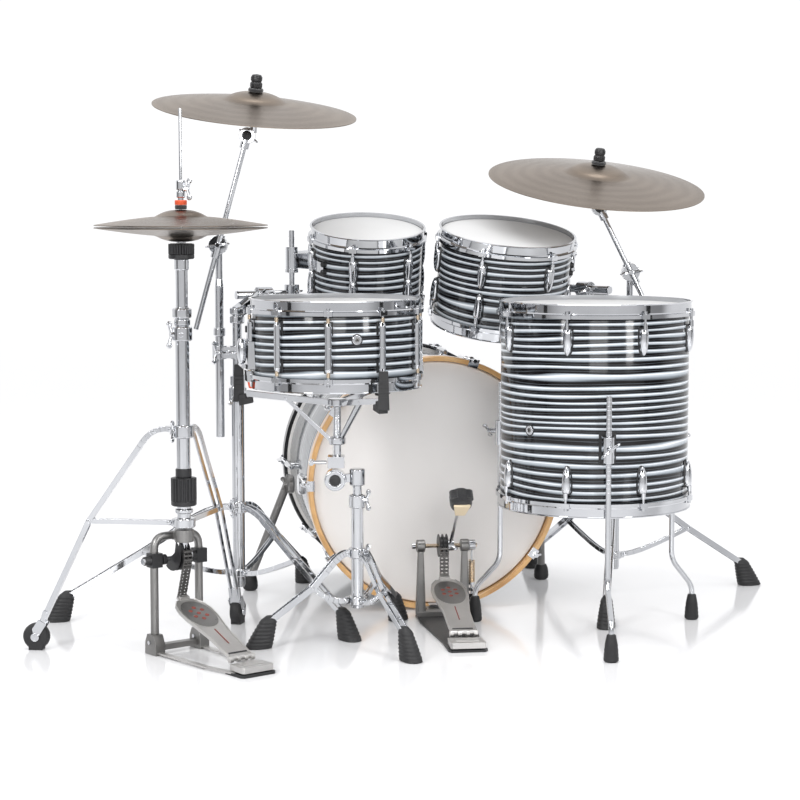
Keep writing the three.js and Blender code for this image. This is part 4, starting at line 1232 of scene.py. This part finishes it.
def leg_unit(node, tube):
    """A leg's frame, with +X from its tube to its foot, and the reach to the foot."""
    foot = foot_of(node)
    angle = math.degrees(math.atan2(foot[1] - tube[1], foot[0] - tube[0]))
    return turned((tube[0], tube[1], 0), yaw=angle), math.hypot(foot[0] - tube[0], foot[1] - tube[1]) + 2


FOOT_HEIGHT = 68
FOOT_LEVELS = 45


def wedge_foot(name, unit, reach):
    """A rubber shoe that leans with its leg: narrow at the top, and out to a flat sole."""
    foot = Piece(name, unit)
    levels = []
    for step in range(FOOT_LEVELS):
        share = step / (FOOT_LEVELS - 1)
        height = FOOT_HEIGHT * share
        rib = 0.8 * math.sin(2 * math.pi * height / 7.6) if 7 < height < 56 else 0
        round_off = 1 - max(0, share - 0.88) * 3.4
        long = (29 - 14 * share ** 1.25) * round_off + rib
        wide = (20.5 - 9.5 * share ** 1.3) * round_off + rib
        if step == 0:
            long, wide = long - 3, wide - 3
        levels.append((height, reach + 4 - 27 * share, long, wide))
    foot.loft(levels)
    foot.build("kit_base", "rubber", bevel=0, sharp=50)


def twin_strips(steel, line, brace, depth):
    """Two strips side by side along a leg, and two thin ones between them along its brace."""
    for low, high in ((-9, -5.4), (5.4, 9)):
        steel.strip(line, depth, low, high)
    for low, high in ((-4.6, -1.8), (1.8, 4.6)):
        steel.strip(brace, 11, low, high)


def rivet(steel, x, z, radius, head, crown):
    """A pin across a leg's strips, with a low domed head on each side."""
    steel.rod((x, -9, z), (x, 9, z), radius, facets=SMALL)
    profile = [(0, 0), (head, 0), (crown, 2), (0, 2.6)]
    for side in (-1, 1):
        steel.lathe(profile, (x, side * 7.4, z), (0, side, 0), SMALL)


def add_leg(node, tube, spec):
    unit, reach = leg_unit(node, tube)
    knee, joint = spec["knee"], (reach * spec["share"], spec["joint"])
    start = (spec["start"] + 1, spec["high"])
    halfway = ((knee[0] + joint[0]) / 2, (knee[1] + joint[1]) / 2 + 2)
    line = bow(start, (knee[0], spec["high"] + 2), halfway, 7) + [joint, (reach - 12, 50)]
    brace = bow((spec["start"] + 1, spec["low"]), (spec["start"] + 34, spec["low"] - 6), joint, 7)
    steel = Piece(f"{node}_strips", unit)
    twin_strips(steel, line, brace, 13)
    for x, z in (joint, start, (spec["start"] + 4, spec["low"])):
        rivet(steel, x, z, 4.2, 4.6, 3.4)
    for share in (0.25, 0.6):
        x, z = (joint[0] + (reach - 12 - joint[0]) * share, joint[1] + (50 - joint[1]) * share)
        steel.rod((x, -8, z), (x, 8, z), 3.4, facets=SMALL)
    steel.build("kit_base", "chrome_hardware", [node], bevel=0.6, sharp=24)
    wedge_foot(f"{node}_foot", unit, reach)


def collar(piece, x, y, low, high, radius):
    """A sleeve with eased edges round an upright tube."""
    edge = 2.0
    piece.lathe([(0, low), (radius - edge, low), (radius, low + edge), (radius, high - edge),
                 (radius - edge, high), (0, high)], (x, y, 0), facets=48)


def leg_ears(piece, x, y, height, feet):
    """The forks on a collar that the leg strips are riveted to."""
    for foot in feet:
        out = Vector((foot[0] - x, foot[1] - y, 0)).normalized()
        piece.bar(Vector((x, y, height)) + out * 12, Vector((x, y, height)) + out * 27, 10, 15)


def lower_tube(stand, x, y, spec, ears, legs=(1, 2, 3)):
    """A stand's fixed tube, its collars, and the forks that its legs are riveted to."""
    tube = Piece(f"{stand}_lower_tube")
    tube.post(x, y, *spec["span"], spec["tube"])
    for low, high, radius in spec["bands"]:
        collar(tube, x, y, low, high, radius)
    feet = [foot_of(f"{stand}_leg_{k}") for k in legs]
    for height in ears:
        leg_ears(tube, x, y, height, feet)
    return tube


def add_double_stand(side, cymbal, tom, low_boom, holder_share, clamp, wing_side):
    """A tripod stand that carries a tom arm and, on a side post, a cymbal boom. low_boom is the
    boom's length below its pivot, holder_share the holder's place along the tom arm, and clamp the
    height of the post's clamp."""
    stand = f"{side}_stand"
    x, y, _ = middle(f"{stand}_tube")
    base = lower_tube(stand, x, y, STAND, (LEG["low"] - 2, LEG["high"]))
    base.post(x, y, 62, 70, STAND["tube"] - 1)
    base.wing((x, y - 16, 503), (wing_side * 0.8, -0.6, 0), 34, 6, (0.3, 0, 1))
    base.wing((x, y - 17, 246), (wing_side * 0.9, -0.4, 0), 34, 6, (0, 0, 1))
    base.build("kit_base", "chrome_hardware", [f"{stand}_tube"], bevel=0.8)
    for k in (1, 2, 3):
        add_leg(f"{stand}_leg_{k}", (x, y), LEG)

    far, elbow = (Vector(p) for p in arm_line(tom))
    along = (elbow - far).normalized()
    hold = far.lerp(elbow, holder_share)
    pivot = Vector(pin(f"{side}_boom_tilt"))
    post = Vector((pivot.x, y, 0))
    upper = Piece(f"{stand}_middle_tube")
    upper.post(x, y, 400, 692, STAND["upper"])
    for k in range(2):
        collar(upper, x, y, 664 + 20 * k, 682 + 18 * k, 17)
    collar(upper, x, y, 523, 546, 17)
    upper.bar((x, y, 690), hold, 22, 24, 26, 30)
    upper.rod(hold - along * 18, hold + along * 18, 17.5)
    upper.rod(hold - along * 18, hold - along * 12, 18)
    down = Vector((0.2 * wing_side, -1, 0))
    upper.rod(hold, hold + down * 26, 6)
    upper.wing(hold + down * 20, down, 40, 7, (1, 0, 0.25))
    upper.bar((x, y, clamp), (post.x, y, clamp), 32, 26)
    upper.post(x, y, clamp - 15, clamp + 15, 16.5)
    upper.post(post.x, y, clamp - 15, clamp + 15, 16.5)
    near_wing = Vector((post.x if wing_side * (post.x - x) > 0 else x, y - 12, clamp))
    upper.wing(near_wing, (wing_side * 0.9, -0.5, 0), 40, 7, (0, 0.1, 1))
    upper.wing(((x + post.x) / 2, y - 16, clamp), (0, -1, 0), 34, 6, (1, 0, 0))
    upper.build(f"{side}_upper", "chrome_hardware", [f"{stand}_upper_tube"], bevel=1.0)

    post_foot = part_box(f"{stand}_side_post")[0].z / MM
    half = STAND["thick"] / 2
    tube = Piece(f"{stand}_post_tube")
    tube.post(post.x, y, post_foot, pivot.z - 92, STAND["post"])
    tube.post(post.x, y, pivot.z - 92, pivot.z - 76, STAND["post"], 8)
    tube.post(post.x, y, pivot.z - 77, pivot.z - 14, 8)
    collar(tube, post.x, y, clamp + 36, clamp + 56, 13.5)
    tube.rod((post.x, y - half, pivot.z), (post.x, y + half, pivot.z), STAND["drum"], facets=64)
    tube.rod((post.x, y + half, pivot.z), (post.x, y + half + 5, pivot.z), 14)
    tube.build(f"{side}_post", "chrome_hardware", [f"{stand}_side_post"], bevel=1.0)

    tilter = Vector(pin(f"{cymbal}_tilter_tilt"))
    plane = pivot.y
    top = Vector((tilter.x, plane, tilter.z))
    centre = Vector((pivot.x, plane, pivot.z))
    way = (top - centre).normalized()
    boom = Piece(f"{stand}_boom_rod")
    boom.rod(centre - way * low_boom, top, STAND["boom"])
    for middle_point, radius in ((centre, STAND["drum"]), (top, STAND["drum"] - 3)):
        side_step = Vector((0, half, 0))
        boom.rod(middle_point - side_step, middle_point + side_step, radius, facets=64)
        boom.rod(middle_point - way * 30, middle_point + way * (24 if radius > 20 else 0), 10.5)
    boom.wing(centre - Vector((0, half, 0)), (0, -1, 0), 44, 7, (1, 0, 0.15))
    boom.build(f"{side}_boom", "chrome_hardware", [f"{stand}_boom"], bevel=1.0)
    cap = Piece(f"{stand}_boom_inlay")
    profile = [(0, 0), (11, 0), (11, 1.4), (9, 2.2), (0, 2.2)]
    cap.lathe(profile, top - Vector((0, half, 0)), (0, -1, 0), 40)
    for k in range(BOOM_TEETH):
        angle = 2 * math.pi * k / BOOM_TEETH
        tooth = centre + Vector((math.cos(angle), 0, math.sin(angle))) * 20.4
        cap.rod(tooth + Vector((0, half + 1, 0)), tooth + Vector((0, half - 3, 0)), 1, facets=6)
    cap.build(f"{side}_boom", "black_plastic", bevel=0)


# ------------------------------------------------------------ cymbals

CRASH = {"radius": 228.6, "rise": 41, "bell": 66, "tilt": 10.4, "roll": 5.1}
RIDE = {"radius": 254, "rise": 45, "bell": 72, "tilt": 13.4, "roll": 5}
HIHAT = {
    "radius": 178, "bell": 50, "top_rise": 31, "bottom_rise": 28, "top_rim": 893, "bottom_rim": 886,
}


def cymbal_profile(radius, rise, bell, hole=7, thick=1.6):
    """The cup, its shoulder and the long bow, as one closed line of top and under sides."""
    cup = rise * 0.46
    top = [(hole, rise)]
    for k in range(1, 10):
        share = k / 10
        top.append((bell * share if bell * share > hole else hole + k, rise - cup * share ** 2.6 * 0.86))
    for k in range(25):
        share = k / 24
        lift = (rise - cup) * (1 - share ** 1.25)
        top.append((bell + 4 + (radius - bell - 4) * share, lift))
    under = [(r, h - thick) for r, h in top]
    return top + list(reversed(under))


def add_cymbal(name, spec):
    hole = Vector(pin(f"{name}_swing"))
    unit = turned(hole, spec["tilt"], spec["roll"])
    rise = spec["rise"]
    unit = unit @ Matrix.Translation((0, 0, 1 - rise))
    cymbal = Piece(f"{name}_bronze", unit)
    cymbal.lathe(cymbal_profile(spec["radius"], rise, spec["bell"]), facets=CYMBAL_FACETS)
    cymbal.build(name, "cymbal_bronze", [f"{name}_cymbal"], bevel=0)
    body = f"{name}_tilter"
    pivot = Vector(pin(f"{name}_tilter_tilt"))
    half = STAND["thick"] / 2
    ends = [Vector(inside(unit, (pivot.x, pivot.y + shift, pivot.z))) for shift in (-half, half)]
    steel = Piece(f"{name}_tilter_steel", unit)
    steel.rod(ends[0], ends[1], STAND["drum"] - 3, facets=64)
    out = (ends[1] - ends[0]).normalized()
    steel.rod(ends[1], ends[1] + out * 6, 11)
    steel.wing(ends[1] + out * 4, out, 40, 7, (1, 0, -0.6))
    steel.bar((ends[0] + ends[1]) / 2, (0, 0, -46), 12, 12, 9, 9)
    steel.post(0, 0, -52, rise + 8, 3.8)
    steel.post(0, 0, -50, -24, 9, 8)
    steel.post(0, 0, rise - 14, rise - 12, 17)
    steel.post(0, 0, -34, -22, 12)
    steel.build(body, "chrome_hardware", [body], bevel=0.8)
    sleeve = Piece(f"{name}_sleeve_and_nut", unit)
    sleeve.post(0, 0, -20, rise - 13, 6.2)
    line = [(0, rise + 9), (12, rise + 9), (13, rise + 11), (13, rise + 20), (11.2, rise + 22)]
    line += [(11.2, rise + 24), (12.6, rise + 26), (12.6, rise + 33), (10, rise + 38), (0, rise + 40)]
    sleeve.lathe(line, facets=48)
    for k in range(8):
        angle = 45 * k
        sleeve.rod(polar(11.6, angle, rise + 11), polar(11.6, angle, rise + 20), 2.2, facets=8)
        sleeve.rod(polar(11, angle + 20, rise + 26), polar(11, angle + 20, rise + 34), 2.4, facets=8)
    sleeve.build(body, "black_plastic", bevel=0.6)
    wool = Piece(f"{name}_felts", unit)
    over = [(4, 0.5), (15, 0.5), (17, 2.5), (17, 6), (15, 8.5), (4, 8.5)]
    under = [(4, -11.6), (14, -11.6), (16, -9), (16, -5), (13, -2.6), (4, -2.6)]
    for profile in (over, under):
        wool.lathe([(r, rise + h) for r, h in profile], facets=48)
    wool.build(body, "felt", bevel=0)


# ------------------------------------------------------------ hi-hat


def add_hihat_leg(number, tube):
    node = f"hihat_leg_{number}"
    unit, reach = leg_unit(node, tube)
    reach -= 2
    joint = (202, 276)
    line = bow((24.5, 471), (66, 478), (92, 434), 7) + [joint, (reach - 14, 56)]
    brace = [(26, 276), joint]
    steel = Piece(f"{node}_strips", unit)
    if number == 1:
        steel.strip(line, 11, -9, 9)
        steel.strip(brace, 11, -6, 6)
    else:
        twin_strips(steel, line, brace, 12)
    for x, z in (joint, (26, 470), (30, 276), (60, 466)):
        rivet(steel, x, z, 4.6, 5.4, 4)
    steel.bar((reach - 24, 0, 84), (reach - 14, 0, 48), 26, 9)
    for side in (-1, 1):
        cheek = [
            (reach - 27, 56), (reach - 10, 66), (reach + 4, 46), (reach + 1, 30), (reach - 9, 28),
        ]
        steel.plate(cheek, side * 13.4 - 1.2, side * 13.4 + 1.2)
        steel.lathe([(0, 0), (10, 0), (9, 2.5), (0, 3.2)], (reach - 2, side * 14, 28.3), (0, side, 0), 32)
    steel.build("kit_base", "chrome_hardware", [node], bevel=0.6, sharp=24)
    boot = Piece(f"{node}_foot", unit)
    wheel = [
        (0, -12), (17, -12), (25, -10.5), (28, -6), (28.2, 0), (28, 6), (25, 10.5), (17, 12), (0, 12),
    ]
    boot.lathe(wheel, (reach - 2, 0, 28.3), (0, 1, 0), 64)
    boot.block((reach - 2, 0, 6), (30, 23, 12))
    boot.build("kit_base", "rubber", bevel=0.6)


def fluted_grip(name, x, y, low, high, radius, body, flutes=20, neck=0.0):
    """A black nylon grip with upright flutes, and a plain neck above it where there is one."""
    grip = Piece(name)
    collar(grip, x, y, low, low + 11, radius - 0.4)
    collar(grip, x, y, low + 9, high - 1, radius - 2.6)
    for k in range(flutes):
        foot = Vector((x, y, 0)) + Vector(polar(radius - 3, 360 * k / flutes))
        grip.rod(foot + Vector((0, 0, low + 10)), foot + Vector((0, 0, high - 2)), 2.9, facets=10)
    if neck:
        collar(grip, x, y, high - 2, high + neck, radius * 0.62)
    return grip.build(body, "black_plastic", bevel=0.4)


def add_hihat():
    x, y, _ = middle("hihat_pull_rod")
    tube = lower_tube("hihat", x, y, HIHAT_STAND, HIHAT_STAND["ears"], legs=(1, 2))
    tube.wing((x - 14, y - 8, 668), (-0.9, -0.4, 0), 44, 7, (0, 0.1, 1))
    tube.rod((x, y - 12, 668), (x, y - 26, 668), 5)
    tube.wing((x - 14, y - 8, 468), (-0.6, -0.9, 0), 34, 6, (0, 0.1, 1))
    tube.build("kit_base", "chrome_hardware", ["hihat_tube"], bevel=0.8)
    fluted_grip("hihat_turn_grip", x, y, *HIHAT_STAND["grip"], 27, "kit_base", 20, 18)

    upper = Piece("hihat_middle_tube")
    upper.post(x, y, 560, 812, 12.5)
    collar(upper, x, y, 800, 824, 15)
    upper.post(x, y, 856, 864, 10)
    upper.build("hihat_upper", "chrome_hardware", ["hihat_upper_tube"], bevel=0.8)
    fluted_grip("hihat_cymbal_seat", x, y, 823, 856, 27, "hihat_upper", 28)
    pull = Piece("hihat_rod_steel")
    pull.post(x, y, 206, 1128, 3.3)
    pull.post(x, y, 1128, 1130, 3.3, 2)
    pull.build("hihat_rod", "chrome_hardware", ["hihat_pull_rod"], bevel=0)

    for name, rim, rise, way, body in (
        ("top", HIHAT["top_rim"], HIHAT["top_rise"], 1, "hihat_top"),
        ("bottom", HIHAT["bottom_rim"], HIHAT["bottom_rise"], -1, "hihat_upper"),
    ):
        hole = 4.2 if way > 0 else 7
        line = [(r, way * h) for r, h in cymbal_profile(HIHAT["radius"], rise, HIHAT["bell"], hole)]
        cymbal = Piece(f"hihat_{name}_bronze", turned((x, y, rim)))
        cymbal.lathe(line, facets=CYMBAL_FACETS)
        cymbal.build(body, "cymbal_bronze", [f"hihat_{name}_cymbal"], bevel=0)
    seat = HIHAT["top_rim"] + HIHAT["top_rise"]
    clutch = Piece("hihat_clutch_sleeve")
    clutch.post(x, y, seat + 18, 984, 6.5)
    collar(clutch, x, y, 948, 962, 9.5)
    collar(clutch, x, y, 964, 984, 10)
    clutch.wing((x + 7, y - 3, 966), (0.95, -0.3, 0), 34, 5, (0, 0.1, 1))
    clutch.post(x, y, seat - 12, seat - 2, 11, 12)
    clutch.build("hihat_top", "chrome_hardware", bevel=0.6)
    washer = Piece("hihat_clutch_washer")
    profile = [
        (4, seat + 9.6), (12, seat + 9.6), (12.6, seat + 11), (12.6, seat + 18), (11.6, seat + 19.4),
        (4, seat + 19.4),
    ]
    washer.lathe(profile, (x, y, 0), facets=40)
    washer.build("hihat_top", "red_detail", bevel=0)
    wool = Piece("hihat_clutch_felts")
    low = seat + 0.6
    wool.lathe([(4, low), (11, low), (12.4, low + 2), (12.4, low + 7), (11.4, low + 8.6), (4, low + 8.6)],
               (x, y, 0), facets=40)
    wool.build("hihat_top", "felt", bevel=0)


# ------------------------------------------------------------ snare stand


def add_snare_stand():
    x, y, _ = middle("snare_stand_tube")
    hub = Vector(pin("snare_basket_tilt"))
    base = lower_tube("snare_stand", x, y, SNARE_STAND, (SNARE_LEG["low"], SNARE_LEG["high"]))
    base.wing((x + 13, y - 8, 308), (0.9, -0.4, 0), 34, 6, (0, 0.1, 1))
    base.wing((x + 13, y - 8, 193), (0.9, -0.5, 0), 30, 6, (0, 0.1, 1))
    base.build("kit_base", "chrome_hardware", ["snare_stand_tube"], bevel=0.8)
    for k in (1, 2, 3):
        add_leg(f"snare_stand_leg_{k}", (x, y), SNARE_LEG)
    upper = Piece("snare_stand_middle_tube")
    upper.post(x, y, 215, 345, 9.5)
    collar(upper, x, y, 338, 374, 16.5)
    upper.bar((x, y, 357), hub, 16, 18)
    upper.rod(hub - Vector((0, 18, 0)), hub + Vector((0, 18, 0)), 23, facets=64)
    upper.lathe([(12, 0), (22, 0), (20, 2.4), (13, 2.4)], hub - Vector((0, 18, 0)), (0, -1, 0), 48)
    upper.build("snare_height", "chrome_hardware", ["snare_stand_height_tube"], bevel=1.0)
    cap = Piece("snare_stand_hub_cap")
    cap.lathe([(0, 0), (12, 0), (12, 0.8), (10, 2), (0, 2)], hub - Vector((0, 18, 0)), (0, -1, 0), 40)
    cap.build("snare_height", "black_plastic", bevel=0)
    add_basket(hub)


BASKET = {"angles": (180, 60, -60), "grip": 207, "top": 522, "post": (4, 12)}


def add_basket(hub):
    centre = face("snare_playing_face")[0]
    x, y = hub.x + BASKET["post"][0], hub.y + BASKET["post"][1]
    top = BASKET["top"]
    steel = Piece("snare_basket_steel")
    steel.block(((x + hub.x) / 2, (y + hub.y) / 2, hub.z + 38), (36, 44, 24))
    steel.rod((hub.x - 18, hub.y - 10, hub.z + 38), (hub.x - 52, hub.y - 10, hub.z + 38), 4)
    steel.rod((hub.x - 50, hub.y - 28, hub.z + 38), (hub.x - 50, hub.y + 8, hub.z + 38), 5.5)
    steel.post(x, y, hub.z + 40, top - 2, 8.5)
    for k in range(18):
        steel.post(x, y, 444 + 3.4 * k, 446 + 3.4 * k, 8.9, 8.4)
    collar(steel, x, y, top - 16, top, 20)
    collar(steel, x, y, 424, 440, 18)
    grips = Piece("snare_basket_grips")
    for angle in BASKET["angles"]:
        out = Vector((math.cos(math.radians(angle)), math.sin(math.radians(angle)), 0))
        tip = Vector((centre.x, centre.y, 0)) + out * BASKET["grip"]
        along = Vector((tip.x - x, tip.y - y, 0))
        side = Vector((0, 0, 1)).cross(along).normalized()

        def at(share, height):
            return Vector((x, y, height)) + along * share

        for way in (-4.2, 4.2):
            steel.bar(at(0.04, top - 9) + side * way, at(0.98, top + 11) + side * way, 3, 13)
        for way in (-2.6, 2.6):
            steel.bar(at(0.06, 432) + side * way, at(0.52, top) + side * way, 2, 8)
        steel.rod(at(0.52, top) - side * 6.4, at(0.52, top) + side * 6.4, 3.6)
        steel.bar(at(0.965, top), at(0.965, top + 52), 12, 5)
        grips.bar(tip + Vector((0, 0, top - 8)), tip + Vector((0, 0, top + 72)), 24, 17, 19, 12)
        grips.bar(tip + Vector((0, 0, top - 8)), tip - out * 30 + Vector((0, 0, top - 4)), 22, 16, 18, 12)
        grips.bar(tip + Vector((0, 0, top + 2)), tip - out * 16 + Vector((0, 0, top + 6)), 22, 10)
        for k in range(5):
            grips.block(tip + Vector((0, 0, top + 8 + 10 * k)), (21.5, 16, 4))
    steel.build("snare_drum", "chrome_hardware", ["snare_stand_basket"], bevel=0.8)
    grips.build("snare_drum", "rubber", bevel=1.5)


add_camera()
add_stage()
add_bass_drum()
add_bass_pedal()
add_snare()
add_snare_stand()
add_rack_tom("high_tom", HIGH_TOM, "high_tom_playing_face", "high_tom_swivel", 872)
add_rack_tom("mid_tom", MID_TOM, "mid_tom_playing_face", "mid_tom_swivel", 862)
add_floor_tom()
add_hihat()
add_hihat_pedal()
for leg_number in (1, 2):
    add_hihat_leg(leg_number, middle("hihat_pull_rod"))
add_double_stand("left", "crash", "high_tom", low_boom=196, holder_share=0.5, clamp=599, wing_side=-1)
add_double_stand("right", "ride", "mid_tom", low_boom=62, holder_share=0.526, clamp=640, wing_side=1)
add_cymbal("crash", CRASH)
add_cymbal("ride", RIDE)
